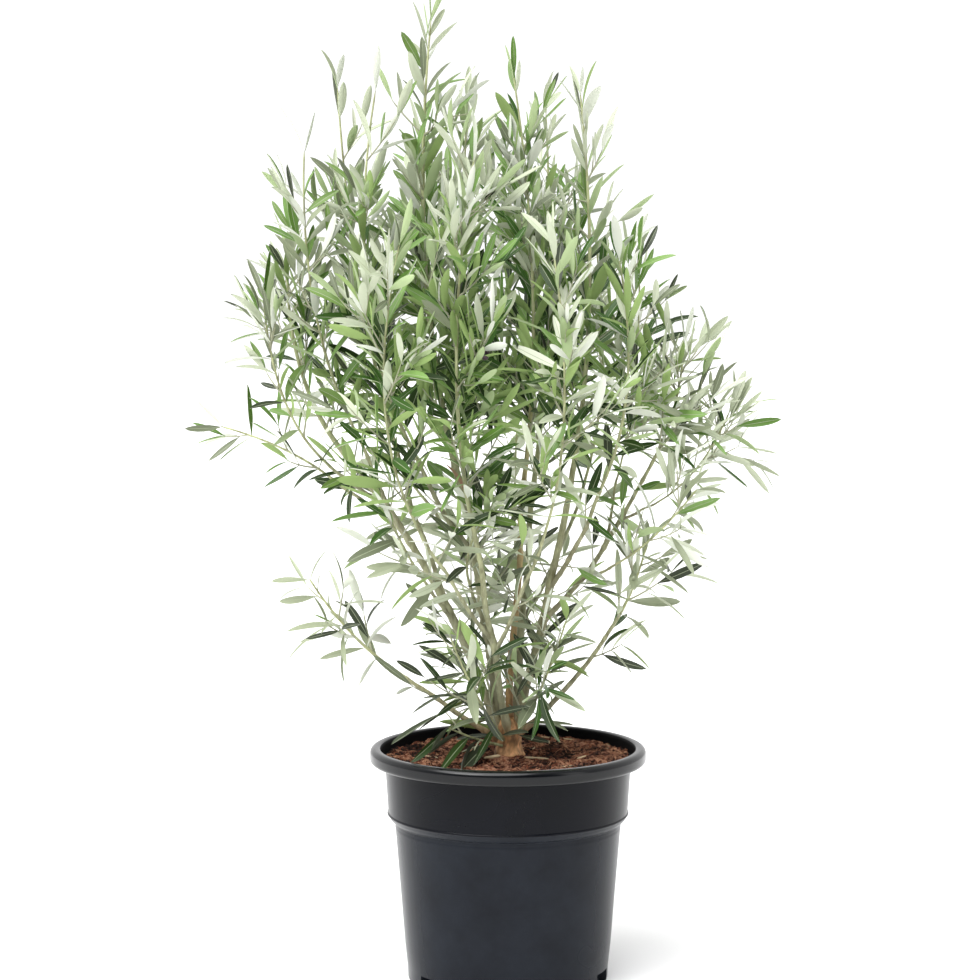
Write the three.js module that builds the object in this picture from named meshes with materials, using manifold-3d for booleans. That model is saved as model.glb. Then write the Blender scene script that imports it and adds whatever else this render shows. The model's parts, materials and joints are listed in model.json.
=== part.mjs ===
// A young olive tree with several stems, growing in a round plastic nursery pot.
// Millimetres, +Z up. The origin is the middle of the pot's flat underside. To someone who stands
// on the -Y side, +X is to the right and +Y is away.
import * as THREE from 'three';
import { mergeVertices } from 'three/addons/utils/BufferGeometryUtils.js';
import Module from 'manifold-3d';

const GAP = 0.3; // left clear between pieces that touch
const TIP_GAP = 0.35; // the same between a limb's tip and the stem that runs on from it

// ---- pot -------------------------------------------------------------------------------------
const ROUND = 36; // facets round the pot and the soil
const POT_HEIGHT = 255;
const RIM_RADIUS = 150;
const RIM_INSIDE = 137.5;
const RIM_DEPTH = 17; // height of the rolled rim
const RIM_LEDGE = 4; // height of the inner ledge where the wall widens to the rim
const RIM_TAPER = 1; // how much narrower the rim is inside at that ledge
const COLLAR_TOP_RADIUS = 133.5;
const COLLAR_FOOT_RADIUS = 130.3;
const COLLAR_FOOT = 185;
const BODY_TOP = 174;
const BODY_TOP_RADIUS = 123;
const BODY_FOOT_RADIUS = 109;
const WALL = 2.6;
const FLOOR = 3;
const NOTCHES = 6; // blind drain notches round the bottom edge
const NOTCH_WIDTH = 34;
const NOTCH_HEIGHT = 15;
const NOTCH_INNER = 102; // distance of a notch's back face from the axis
const NOTCH_TURN = 2 / 3; // place of the first notch, as a share of the step between two
const NOTCH_OVERCUT = 5; // how far the cutting block runs past the pot's underside

// ---- soil ------------------------------------------------------------------------------------
const SOIL_MEAN = 243.5;
const SOIL_COLLAR = 24; // radius of the level ground round the trunk
const SOIL_RINGS = [SOIL_COLLAR, 62, 104]; // radii of the rows of corners on top
const SOIL_EDGE = 135; // radius of its level top
const SOIL_FADE = 30; // distance over which the waves come in from the collar and the edge
const SWELL = { height: 1.6, across: 17, deep: 21, phase: 1.2 };
const RIPPLE = { height: 0.9, length: 11 };
const SOIL_SLOPE = 0.022; // the soil rises a little towards +X

// ---- trunk -----------------------------------------------------------------------------------
const GROUND = 247; // level of the trunk's flat cut
const TRUNK_SIDES = 14;
const TRUNK_LEAN = [1.5, 0.5]; // how far the foot stands to the right and back of the fork
const FLARE_LOBES = 5;
const KNOBS = 0.035; // unevenness of the trunk as a share of its radius
const TRUNK_STATIONS = [
  // height above the ground, radius, share of root lobes
  [0, 17.2, 0.1],
  [4, 15.3, 0.08],
  [10, 13.6, 0.06],
  [18, 13.7, 0.05],
  [27, 15.3, 0.05],
  [34, 14.7, 0.04],
  [39, 11.0, 0.02],
];

// ---- limbs -----------------------------------------------------------------------------------
const LIMB_STEPS = 5;
const STOUT = 4; // foot radius from which a limb is given six sides instead of five
const TIP_SHARE = 0.62; // radius of a limb's tip over that of its foot
const FORK_SHARE = 0.72; // a bough's foot is no thicker than this share of its parent there
const WANDER = 2.2; // how far a limb strays from its arc
const WANDER_EASE = 8; // how soon it strays, past its ends

// ---- foliage ---------------------------------------------------------------------------------
const STEM_STEPS = 4;
const STEM_EASE = 0.45; // share of its span over which a stem turns out of its limb's direction
const STEM_TIP = 1.5; // radius of a leafy stem at its tip
const SPRIG_FOOT = 1.6; // radius of a sprig at its foot
const SPRIG_ARC = [0.6, 0.6, 0.45]; // where a sprig's arc is drawn to, as shares of its span
const SHOOT_SHARE = 0.62; // a shoot's foot is no thicker than this share of its stem there
const TWIG_FOOT = 1.25;
const TWIG_TIP = 0.9;
const TWIG_STEPS = 2;
const GOLDEN_ANGLE = 137.5; // turn from one side shoot to the next
const SHOOTS_FROM = 0.03; // shoots stand on this stretch of their stem, as shares of its length
const SHOOTS_TO = 0.88;
const SHOOT_STRAY = 0.4; // how far along the stem a shoot strays from an even step, in steps
const SHOOT_SPIN_STRAY = 30;
const SHOOT_ANGLE = 48; // between a shoot and its stem, in degrees
const SHOOT_ANGLE_STRAY = 10;
const SHOOT_TURNS = [0, 40, -40, 80]; // tried in turn where a shoot would leave the mass's space
const SHOOT_CUTS = [1, 0.8, 0.62]; // shares of its length tried in turn
const SHOOT_LIFT = 0.17; // how strongly shoots turn up to the light
const REACH_LOW = 1.05; // length of the lowest shoot over the mass's reach
const REACH_FALL = 0.45; // how much of that a shoot at the stem's tip lacks
const REACH_STRAY = 0.22;
const NODE_PITCH = 21; // from one leaf pair to the next
const NODE_STRIDE = 3; // leaves stand at every third node, larger for the ones left out
const LEAF_LENGTH = 73;
const LEAF_LENGTH_STRAY = 0.2;
const LEAF_WIDTH_SHARE = 0.265;
const LEAF_WIDTH_STRAY = 0.05;
const LEAF_THICKNESS_SHARE = 0.024;
const LEAF_WIDEST = 0.48; // share of its length at which a leaf is widest
const LEAF_ROOT = 0.1; // how far behind the twig's axis a leaf's root lies
const LEAF_ANGLE = 54; // between an old leaf and its twig, in degrees
const LEAF_ANGLE_STRAY = 14;
const LEAF_SPIN_STRAY = 25;
const LEAF_TWIST = 40;
const LEAF_TURNS = [0, 35, -35]; // tried in turn where a leaf would leave the space
const LEAF_LIFT = 0.06;
const DROOP = -0.9; // lift of the leaves on the drooping sprig
const BARE_SHOOT = 7; // bare length at the foot of a shoot, and of a stem
const BARE_STEM = 4;
const END_PAIR = 0.8; // distance from the tip of the last pair, and of any other past its node
const LOWER_PAIR = 1.5;
const FRESH_LENGTH = 60; // leaves this near the tip are younger, shorter and more upright
const FRESH_CLOSING = 28; // how many degrees nearer to the twig the youngest leaf is
const FRESH_SHORTENING = 0.35;
const SPACE_MARGIN = 0.9; // kept inside the boundary with a neighbouring mass
const LIMB_MARGIN = 0.9; // kept clear of a limb's surface
const LEAF_BERTH = 6; // a blade's axis keeps this far from the axes of blades from other nodes
const SAME_NODE = 3; // leaves whose roots are nearer than this stand on one node
const LOWEST_INSIDE = 251; // nothing leafy hangs lower than this over the soil
const LOWEST_OUTSIDE = 258; // nor than this over the rim and past it
const INSIDE = 126; // radius within which a leaf is over the soil

// Positions are [right, back, up]. A limb leaves its parent at 'at', a share of the parent's
// length, or from the trunk at 'foot', and ends at 'tip'; 'bow' above nought carries it outward
// first and then up. Its leaves hang on a stem that runs on to 'top' with so many side shoots
// of about 'reach'.
const LIMBS = [
  { name: 'left_stem', from: 'trunk', foot: [-9, 5, 270], tip: [-60, 10, 572], radius: 6, bow: -0.08,
    top: [-82, -5, 1034], shoots: 8, reach: 74 },
  { name: 'centre_stem', from: 'trunk', foot: [1, 1, 272], tip: [19, 0, 560], radius: 4.2, bow: -0.1,
    top: [6, 15, 975], shoots: 7, reach: 82 },
  { name: 'back_stem', from: 'trunk', foot: [5, 9, 270], tip: [32, 72, 560], radius: 4.5, bow: 0,
    top: [42, 100, 938], shoots: 6, reach: 78 },
  { name: 'front_stem', from: 'trunk', foot: [1, -10, 270], tip: [-38, -78, 505], radius: 4, bow: 0,
    top: [-34, -106, 900], shoots: 6, reach: 88 },
  { name: 'left_front_stem', from: 'trunk', foot: [-8, -6.5, 268], tip: [-178, 12, 574], radius: 4.8,
    bow: -0.12, top: [-238, 30, 800], shoots: 4, reach: 58 },
  { name: 'right_stem', from: 'trunk', foot: [9.5, -3.5, 270], tip: [70, -10, 560], radius: 4.9,
    bow: 0.03, top: [76, -20, 956], shoots: 5, reach: 48 },
  { name: 'low_left_bough', from: 'trunk', foot: [-8, -1, 261], tip: [-128, -20, 346], radius: 3.2,
    bow: 0.02, top: [-212, -35, 442], shoots: 4, reach: 50 },
  { name: 'low_right_bough', from: 'trunk', foot: [8, 0, 266], tip: [112, -15, 388], radius: 3.2,
    bow: 0.1, top: [148, -25, 478], shoots: 4, reach: 62 },
  { name: 'left_fork_bough', from: 'left_stem', at: 0.45, tip: [-46, 92, 562], radius: 3.6, bow: 0.1,
    top: [-44, 108, 950], shoots: 6, reach: 84 },
  { name: 'upper_left_bough', from: 'left_stem', at: 0.62, tip: [-102, -20, 578], radius: 3.2,
    bow: 0.05, top: [-140, -32, 960], shoots: 5, reach: 72 },
  { name: 'tall_left_bough', from: 'left_front_stem', at: 0.42, tip: [-125, 46, 588], radius: 3.2,
    bow: 0.05, top: [-184, 48, 966], shoots: 5, reach: 56 },
  { name: 'outer_left_bough', from: 'left_front_stem', at: 0.66, tip: [-165, -15, 602], radius: 2.8,
    bow: 0.05, top: [-216, -22, 896], shoots: 4, reach: 54 },
  { name: 'wide_left_bough', from: 'left_front_stem', at: 0.8, tip: [-198, -42, 572], radius: 2.6,
    bow: 0.05, top: [-258, -52, 742], shoots: 3, reach: 46 },
  { name: 'long_left_bough', from: 'left_front_stem', at: 0.72, tip: [-188, -5, 546], radius: 2.4,
    bow: 0, top: [-306, -15, 604], shoots: 3, reach: 48 },
  { name: 'front_left_bough', from: 'front_stem', at: 0.45, tip: [-98, -98, 510], radius: 3, bow: 0.05,
    top: [-112, -138, 800], shoots: 5, reach: 86 },
  { name: 'front_right_bough', from: 'front_stem', at: 0.4, tip: [38, -104, 500], radius: 3, bow: 0.05,
    top: [44, -148, 800], shoots: 5, reach: 86 },
  { name: 'back_left_bough', from: 'left_fork_bough', at: 0.35, tip: [-112, 132, 540], radius: 2.8,
    bow: 0.1, top: [-132, 172, 810], shoots: 5, reach: 90 },
  { name: 'back_right_bough', from: 'back_stem', at: 0.4, tip: [88, 138, 535], radius: 3, bow: 0.1,
    top: [100, 176, 795], shoots: 5, reach: 90 },
  { name: 'back_low_bough', from: 'back_stem', at: 0.22, tip: [10, 150, 440], radius: 2.8, bow: 0.1,
    top: [15, 210, 640], shoots: 4, reach: 88 },
  { name: 'inner_right_bough', from: 'right_stem', at: 0.55, tip: [104, -50, 555], radius: 2.8,
    bow: 0.1, top: [116, -62, 782], shoots: 4, reach: 76 },
  { name: 'right_fan_bough', from: 'right_stem', at: 0.42, tip: [156, 0, 566], radius: 3, bow: 0.1,
    top: [188, -10, 694], shoots: 4, reach: 62 },
  { name: 'outer_right_bough', from: 'right_fan_bough', at: 0.5, tip: [122, 60, 550], radius: 2.2,
    bow: 0.05, top: [144, 72, 756], shoots: 4, reach: 70 },
  { name: 'far_right_bough', from: 'right_fan_bough', at: 0.66, tip: [163, 18, 520], radius: 2,
    bow: 0.05, top: [238, 15, 616], shoots: 4, reach: 54 },
  { name: 'low_fan_bough', from: 'right_fan_bough', at: 0.3, tip: [120, -40, 462], radius: 2.2,
    bow: 0.1, top: [200, -48, 540], shoots: 4, reach: 60 },
  { name: 'left_low_bough', from: 'left_front_stem', at: 0.38, tip: [-92, -45, 445], radius: 2.4,
    bow: 0.05, top: [-140, -66, 548], shoots: 3, reach: 54 },
  { name: 'inner_low_bough', from: 'left_stem', at: 0.35, tip: [-42, -40, 440], radius: 2.4, bow: 0.05,
    top: [-15, -72, 528], shoots: 3, reach: 72 },
];

// Leafy sprigs that spring straight from the trunk.
const SPRIGS = [
  { name: 'front_low_sprig', foot: [-3, -9, 262], top: [-62, -78, 388], shoots: 4, reach: 75 },
  { name: 'right_low_sprig', foot: [8, -6, 264], top: [62, -45, 400], shoots: 4, reach: 72 },
  { name: 'back_low_sprig', foot: [-3, 9, 262], top: [-45, 78, 410], shoots: 4, reach: 80 },
  { name: 'drooping_sprig', foot: [-5, -9, 257], top: [-64, -64, 287], shoots: 3, reach: 40,
    droops: true },
];

// ---- colours ---------------------------------------------------------------------------------
const LOOKS = {
  pot: { color: 0x35383b, roughness: 0.42, metalness: 0 },
  soil: { color: 0x5a3222, roughness: 1, metalness: 0 },
  trunk: { color: 0xa07850, roughness: 0.9, metalness: 0 },
  limb: { color: 0x9a9072, roughness: 0.85, metalness: 0 },
  foliage: { color: 0x7d9468, roughness: 0.6, metalness: 0 },
};

// What each draw of chance decides.
const DRAW = {
  place: 1, spin: 2, angle: 3, reach: 4,
  leafStart: 7, leafSpin: 8, leafAngle: 9, leafLength: 10, leafWidth: 11, leafTwist: 12,
  strayRight: 41, strayBack: 42, knob: 61, massTurn: 99,
};

const UP = new THREE.Vector3(0, 0, 1);
const wasm = await Module();
wasm.setup();

// ---- chance ----------------------------------------------------------------------------------
// A number from nought to one that depends on nothing but the keys.
function chance(...keys) {
  let h = 0x811c9dc5;
  for (const key of keys) {
    h = Math.imul(h ^ key, 0x01000193);
    h ^= h >>> 15;
    h = Math.imul(h, 0x2c1b3c6d);
    h ^= h >>> 12;
  }
  h = Math.imul(h, 0x297a2d39);
  h ^= h >>> 15;
  return (h >>> 0) / 4294967296;
}

function either(...keys) {
  return 2 * chance(...keys) - 1;
}

// ---- lines -----------------------------------------------------------------------------------
const point = (p) => new THREE.Vector3(p[0], p[1], p[2]);
const radians = THREE.MathUtils.degToRad;

// A polyline with a direction and a carried side vector for each of its segments.
function makeLine(points) {
  const directions = [];
  const sides = [];
  const lengths = [];
  for (let i = 0; i + 1 < points.length; i += 1) {
    const step = points[i + 1].clone().sub(points[i]);
    lengths.push(step.length());
    directions.push(step.normalize());
    const side = i === 0 ? new THREE.Vector3(1, 0, 0) : sides[i - 1].clone();
    if (i === 0 && Math.abs(directions[0].x) > 0.9) side.set(0, 1, 0);
    side.addScaledVector(directions[i], -side.dot(directions[i])).normalize();
    sides.push(side);
  }
  const total = lengths.reduce((sum, l) => sum + l, 0);
  return { points, directions, sides, lengths, total };
}

function bezier(start, control, end, steps) {
  const points = [];
  for (let i = 0; i <= steps; i += 1) {
    const t = i / steps;
    points.push(start.clone().multiplyScalar((1 - t) ** 2)
      .addScaledVector(control, 2 * t * (1 - t)).addScaledVector(end, t * t));
  }
  return points;
}

function along(line, distance) {
  let left = distance;
  let i = 0;
  while (left > line.lengths[i] && i < line.lengths.length - 1) {
    left -= line.lengths[i];
    i += 1;
  }
  const spot = line.points[i].clone().addScaledVector(line.directions[i], left);
  const over = line.directions[i].clone().cross(line.sides[i]);
  return { spot, direction: line.directions[i], side: line.sides[i], over };
}

// The direction that leaves a line at 'angle' degrees, turned 'spin' degrees round it.
function leaving(place, angle, spin) {
  const out = place.side.clone().multiplyScalar(Math.cos(radians(spin)))
    .addScaledVector(place.over, Math.sin(radians(spin)));
  const way = place.direction.clone().multiplyScalar(Math.cos(radians(angle)))
    .addScaledVector(out, Math.sin(radians(angle)));
  return { out, way };
}

// ---- solids ----------------------------------------------------------------------------------
function solidFrom(vertices, triangles) {
  return new wasm.Manifold(new wasm.Mesh({
    numProp: 3,
    vertProperties: new Float32Array(vertices),
    triVerts: new Uint32Array(triangles),
  }));
}

// Rings of equal count joined in turn, with flat ends.
function loft(rings) {
  const count = rings[0].length;
  const vertices = [];
  const triangles = [];
  for (const ring of rings) for (const p of ring) vertices.push(p.x, p.y, p.z);
  for (let r = 0; r + 1 < rings.length; r += 1) {
    for (let i = 0; i < count; i += 1) {
      const a = r * count + i;
      const b = r * count + (i + 1) % count;
      triangles.push(a, b, b + count, a, b + count, a + count);
    }
  }
  const last = (rings.length - 1) * count;
  for (let i = 1; i + 1 < count; i += 1) {
    triangles.push(0, i + 1, i);
    triangles.push(last, last + i, last + i + 1);
  }
  return solidFrom(vertices, triangles);
}

// A round tapering limb along a line; 'grown' thickens it all over.
function limbSolid(line, radiusAt, sides, grown = 0) {
  const rings = line.points.map((p, i) => {
    const before = line.directions[Math.max(i - 1, 0)];
    const after = line.directions[Math.min(i, line.directions.length - 1)];
    const way = before.clone().add(after).normalize();
    const side = line.sides[Math.min(i, line.sides.length - 1)].clone();
    side.addScaledVector(way, -side.dot(way)).normalize();
    const over = way.clone().cross(side);
    const radius = radiusAt(i / (line.points.length - 1)) + grown;
    const centre = p.clone();
    if (grown && i === 0) centre.addScaledVector(way, -grown);
    if (grown && i === line.points.length - 1) centre.addScaledVector(way, grown);
    const ring = [];
    for (let k = 0; k < sides; k += 1) {
      const angle = (2 * Math.PI * k) / sides;
      ring.push(centre.clone().addScaledVector(side, radius * Math.cos(angle))
        .addScaledVector(over, radius * Math.sin(angle)));
    }
    return ring;
  });
  return loft(rings);
}

// A leaf of eight faces: a root, a tip, two edges and two ribs.
function leafSolid(leaf) {
  const widest = leaf.root.clone().addScaledVector(leaf.way, leaf.length * LEAF_WIDEST);
  const corners = [
    leaf.root,
    leaf.root.clone().addScaledVector(leaf.way, leaf.length),
    widest.clone().addScaledVector(leaf.across, leaf.width / 2),
    widest.clone().addScaledVector(leaf.normal, leaf.thickness / 2),
    widest.clone().addScaledVector(leaf.across, -leaf.width / 2),
    widest.clone().addScaledVector(leaf.normal, -leaf.thickness / 2),
  ];
  const vertices = corners.flatMap((p) => [p.x, p.y, p.z]);
  const triangles = [];
  for (let i = 0; i < 4; i += 1) {
    const a = 2 + i;
    const b = 2 + (i + 1) % 4;
    triangles.push(0, b, a, 1, a, b);
  }
  return solidFrom(vertices, triangles);
}

function geometryFrom(solid) {
  const mesh = solid.getMesh();
  const geometry = new THREE.BufferGeometry();
  geometry.setAttribute('position', new THREE.BufferAttribute(new Float32Array(mesh.vertProperties), 3));
  geometry.setIndex(new THREE.BufferAttribute(new Uint32Array(mesh.triVerts), 1));
  return geometry;
}

function solidFromGeometry(geometry) {
  geometry.deleteAttribute('normal');
  geometry.deleteAttribute('uv');
  const closed = mergeVertices(geometry, 1e-4);
  return solidFrom(closed.getAttribute('position').array, closed.getIndex().array);
}

// A lathe turned about +Z from [radius, height] pairs that begin and end on the axis.
function turned(profile) {
  const lathe = new THREE.LatheGeometry(profile.map(([r, z]) => new THREE.Vector2(r, z)), ROUND);
  lathe.rotateX(Math.PI / 2);
  return lathe;
}

// ---- pot and soil ----------------------------------------------------------------------------
const rimFoot = POT_HEIGHT - RIM_DEPTH;
const FLOOR_RADIUS = NOTCH_INNER - 10;
const POT_OUTSIDE = [
  [0, 0],
  [BODY_FOOT_RADIUS - 4, 0],
  [BODY_FOOT_RADIUS, 3.5],
  [BODY_TOP_RADIUS, BODY_TOP],
  [COLLAR_FOOT_RADIUS - 0.6, COLLAR_FOOT - 4],
  [COLLAR_FOOT_RADIUS + 0.8, COLLAR_FOOT - 1],
  [COLLAR_FOOT_RADIUS, COLLAR_FOOT + 2],
  [COLLAR_TOP_RADIUS, rimFoot + 1],
  [RIM_RADIUS - 4, rimFoot],
  [RIM_RADIUS, rimFoot + 5],
  [RIM_RADIUS - 0.6, rimFoot + 12.5],
  [RIM_RADIUS - 5, POT_HEIGHT],
  [RIM_RADIUS - 11, POT_HEIGHT - 0.8],
];
const POT_INSIDE = [
  [RIM_INSIDE, POT_HEIGHT - 5],
  [RIM_INSIDE - RIM_TAPER, rimFoot + RIM_LEDGE],
  [COLLAR_TOP_RADIUS - WALL, rimFoot],
  [COLLAR_FOOT_RADIUS - WALL, COLLAR_FOOT],
  [BODY_TOP_RADIUS - WALL, BODY_TOP - 3],
  [BODY_FOOT_RADIUS - WALL, NOTCH_HEIGHT + 10],
  [FLOOR_RADIUS, FLOOR],
  [0, FLOOR],
];

function potGeometry() {
  let pot = solidFromGeometry(turned([...POT_OUTSIDE, ...POT_INSIDE]));
  for (let i = 0; i < NOTCHES; i += 1) {
    const deep = 30;
    const block = new THREE.BoxGeometry(deep, NOTCH_WIDTH, NOTCH_HEIGHT + NOTCH_OVERCUT);
    block.translate(NOTCH_INNER + deep / 2, 0, (NOTCH_HEIGHT - NOTCH_OVERCUT) / 2);
    block.rotateZ((2 * Math.PI * (i + NOTCH_TURN)) / NOTCHES);
    pot = pot.subtract(solidFromGeometry(block));
  }
  return geometryFrom(pot);
}

// Low waves over the soil, none of them near the trunk or the wall.
function soilHeight(x, y) {
  const radius = Math.hypot(x, y);
  const mound = THREE.MathUtils.clamp(1 - (radius - SOIL_COLLAR) / SOIL_FADE, 0, 1);
  const edge = THREE.MathUtils.clamp((SOIL_EDGE - radius) / SOIL_FADE, 0, 1);
  const swell = SWELL.height * Math.sin(x / SWELL.across + SWELL.phase) * Math.cos(y / SWELL.deep);
  const ripple = RIPPLE.height * Math.sin((x - y) / RIPPLE.length);
  const waves = Math.min(1 - mound, edge) * (swell + ripple + SOIL_SLOPE * x);
  return SOIL_MEAN + (GROUND - GAP - SOIL_MEAN) * mound + waves;
}

// The soil fills the pot and stands GAP clear of its wall and floor.
function soilGeometry() {
  const clear = 1.5 * GAP; // square to a wall that leans, this leaves GAP
  const wall = POT_INSIDE.slice(3, 6).reverse().map(([r, z]) => [r - clear, z]);
  const soil = turned([
    [0, FLOOR + GAP],
    [FLOOR_RADIUS - clear, FLOOR + GAP],
    ...wall,
    [COLLAR_TOP_RADIUS - WALL - clear, rimFoot + GAP],
    [RIM_INSIDE - RIM_TAPER - clear, rimFoot + RIM_LEDGE + GAP],
    [SOIL_EDGE, SOIL_MEAN],
    ...SOIL_RINGS.map((r) => [r, SOIL_MEAN]).reverse(),
    [0, SOIL_MEAN],
  ]);
  const spots = soil.getAttribute('position');
  for (let i = 0; i < spots.count; i += 1) {
    if (spots.getZ(i) > SOIL_MEAN - 1) spots.setZ(i, soilHeight(spots.getX(i), spots.getY(i)));
  }
  return geometryFrom(solidFromGeometry(soil));
}

// ---- trunk -----------------------------------------------------------------------------------
function trunkSolid(grown = 0) {
  const height = TRUNK_STATIONS[TRUNK_STATIONS.length - 1][0];
  const rings = TRUNK_STATIONS.map(([z, radius, lobes]) => {
    const share = 1 - z / height;
    const ring = [];
    for (let i = 0; i < TRUNK_SIDES; i += 1) {
      const angle = (2 * Math.PI * i) / TRUNK_SIDES;
      const knobs = KNOBS * either(DRAW.knob, i, z);
      const r = radius * (1 + lobes * Math.cos(FLARE_LOBES * angle) + knobs) + grown;
      ring.push(new THREE.Vector3(
        TRUNK_LEAN[0] * share + r * Math.cos(angle),
        TRUNK_LEAN[1] * share + r * Math.sin(angle),
        GROUND + z + (z === height ? grown : 0),
      ));
    }
    return ring;
  });
  return loft(rings);
}

// ---- limbs -----------------------------------------------------------------------------------
function limbRadius(limb) {
  return (t) => limb.radius * (1 - (1 - TIP_SHARE) * t);
}

function growLimbs() {
  const limbs = {};
  LIMBS.forEach((row, k) => {
    const parent = limbs[row.from];
    const start = parent ? along(parent.line, row.at * parent.line.total).spot : point(row.foot);
    const end = point(row.tip);
    const span = end.clone().sub(start);
    const most = parent ? FORK_SHARE * limbRadius(parent)(row.at) : row.radius;
    const control = start.clone().add(new THREE.Vector3(
      span.x * (0.5 + row.bow), span.y * (0.5 + row.bow), span.z * (0.5 - row.bow)));
    const points = bezier(start, control, end, LIMB_STEPS);
    points.forEach((p, i) => {
      const t = i / LIMB_STEPS;
      const sway = Math.min(1, WANDER_EASE * t * (1 - t)) * WANDER;
      p.x += sway * either(k, i, DRAW.strayRight);
      p.y += sway * either(k, i, DRAW.strayBack);
    });
    const line = makeLine(points);
    const sides = row.radius >= STOUT ? 6 : 5;
    limbs[row.name] = { ...row, radius: Math.min(row.radius, most), line, sides };
  });
  return limbs;
}

function limbSolids(limbs, trunkGrown) {
  const solids = {};
  for (const limb of Object.values(limbs)) {
    let solid = limbSolid(limb.line, limbRadius(limb), limb.sides);
    const parent = limbs[limb.from];
    const grown = parent
      ? limbSolid(parent.line, limbRadius(parent), parent.sides, GAP)
      : trunkGrown;
    solids[limb.name] = solid.subtract(grown);
  }
  return solids;
}

// ---- foliage ---------------------------------------------------------------------------------
function growStems(limbs) {
  const stems = {};
  for (const limb of Object.values(limbs)) {
    const way = limb.line.directions[LIMB_STEPS - 1];
    const start = limb.line.points[LIMB_STEPS].clone().addScaledVector(way, TIP_GAP);
    const end = point(limb.top);
    const control = start.clone().addScaledVector(way, STEM_EASE * end.distanceTo(start));
    const line = makeLine(bezier(start, control, end, STEM_STEPS));
    const foot = limb.radius * TIP_SHARE;
    stems[limb.name] = { ...limb, line, foot, node: `${limb.name}_leaves` };
  }
  for (const sprig of SPRIGS) {
    const start = point(sprig.foot);
    const end = point(sprig.top);
    const control = end.clone().sub(start).multiply(point(SPRIG_ARC)).add(start);
    const line = makeLine(bezier(start, control, end, STEM_STEPS));
    stems[sprig.name] = { ...sprig, line, foot: SPRIG_FOOT, node: sprig.name };
  }
  return stems;
}

function distanceToLine(p, line) {
  let least = Infinity;
  const offset = new THREE.Vector3();
  for (let i = 0; i < line.lengths.length; i += 1) {
    offset.copy(p).sub(line.points[i]);
    const t = THREE.MathUtils.clamp(offset.dot(line.directions[i]), 0, line.lengths[i]);
    offset.addScaledVector(line.directions[i], -t);
    least = Math.min(least, offset.length());
  }
  return least;
}

// Whether all spots are nearer to a mass's own stem than to any other's and clear of the limbs.
function keepsToItself(own, stems, limbs, spots, thickness) {
  return spots.every((p) => {
    const lowest = Math.hypot(p.x, p.y) < INSIDE ? LOWEST_INSIDE : LOWEST_OUTSIDE;
    if (p.z < lowest + thickness) return false;
    const here = distanceToLine(p, own.line) + SPACE_MARGIN;
    for (const stem of Object.values(stems)) {
      if (stem !== own && distanceToLine(p, stem.line) < here) return false;
    }
    return Object.values(limbs).every((limb) => distanceToLine(p, limb.line)
      > limb.radius + LIMB_MARGIN + thickness);
  });
}

function spotsAlong(points) {
  const spots = [];
  for (let i = 0; i + 1 < points.length; i += 1) {
    for (const share of [0.25, 0.5, 0.75, 1]) {
      spots.push(points[i].clone().lerp(points[i + 1], share));
    }
  }
  return spots;
}

// One side shoot: tried at full length and shorter, turned a little each time, or skipped.
function growShoot(own, stems, limbs, k, i) {
  const step = i + 0.5 + SHOOT_STRAY * (chance(k, i, DRAW.place) - 0.5);
  const t = SHOOTS_FROM + ((SHOOTS_TO - SHOOTS_FROM) * step) / own.shoots;
  const place = along(own.line, t * own.line.total);
  const length = own.reach * (REACH_LOW - REACH_FALL * t) * (1 + REACH_STRAY * either(k, i, DRAW.reach));
  const angle = SHOOT_ANGLE + SHOOT_ANGLE_STRAY * either(k, i, DRAW.angle);
  const start = GOLDEN_ANGLE * i + 360 * chance(k, DRAW.massTurn);
  for (const turn of SHOOT_TURNS) {
    const spin = start + SHOOT_SPIN_STRAY * either(k, i, DRAW.spin) + turn;
    const { way } = leaving(place, angle, spin);
    for (const share of SHOOT_CUTS) {
      const points = [place.spot];
      const course = way.clone();
      for (let s = 0; s < TWIG_STEPS; s += 1) {
        course.addScaledVector(UP, own.droops ? -SHOOT_LIFT : SHOOT_LIFT).normalize();
        points.push(points[s].clone().addScaledVector(course, (length * share) / TWIG_STEPS));
      }
      if (keepsToItself(own, stems, limbs, spotsAlong(points), TWIG_FOOT)) {
        const foot = SHOOT_SHARE * (own.foot + (STEM_TIP - own.foot) * t);
        return { ...makeLine(points), foot: Math.min(TWIG_FOOT, foot) };
      }
    }
  }
  return null;
}

function makeLeaf(place, towards, k, i, j, side, fresh) {
  const { out, way } = towards;
  const grown = 1 + LEAF_LENGTH_STRAY * either(k, i, j, side, DRAW.leafLength);
  const length = LEAF_LENGTH * (1 - FRESH_SHORTENING * fresh) * grown;
  const slenderness = LEAF_WIDTH_SHARE + LEAF_WIDTH_STRAY * either(k, i, j, side, DRAW.leafWidth);
  const broad = place.direction.clone().cross(out).normalize();
  const flat = way.clone().cross(broad);
  const twist = radians(LEAF_TWIST * either(k, i, j, side, DRAW.leafTwist));
  const across = broad.multiplyScalar(Math.cos(twist)).addScaledVector(flat, Math.sin(twist));
  return {
    root: place.spot.clone().addScaledVector(way, -LEAF_ROOT),
    way,
    across,
    normal: way.clone().cross(across),
    length,
    width: length * slenderness,
    thickness: length * LEAF_THICKNESS_SHARE,
  };
}

// Places on a blade, close enough together that no stem or limb passes between them.
function leafSpots(leaf) {
  const at = (share, off) => leaf.root.clone().addScaledVector(leaf.way, leaf.length * share)
    .addScaledVector(leaf.across, leaf.width * off);
  return [at(0.12, 0), at(0.25, 0.2), at(0.25, -0.2), at(0.36, 0), at(LEAF_WIDEST, 0.5),
    at(LEAF_WIDEST, -0.5), at(0.6, 0), at(0.74, 0.24), at(0.74, -0.24), at(0.87, 0), at(1, 0)];
}

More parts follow.
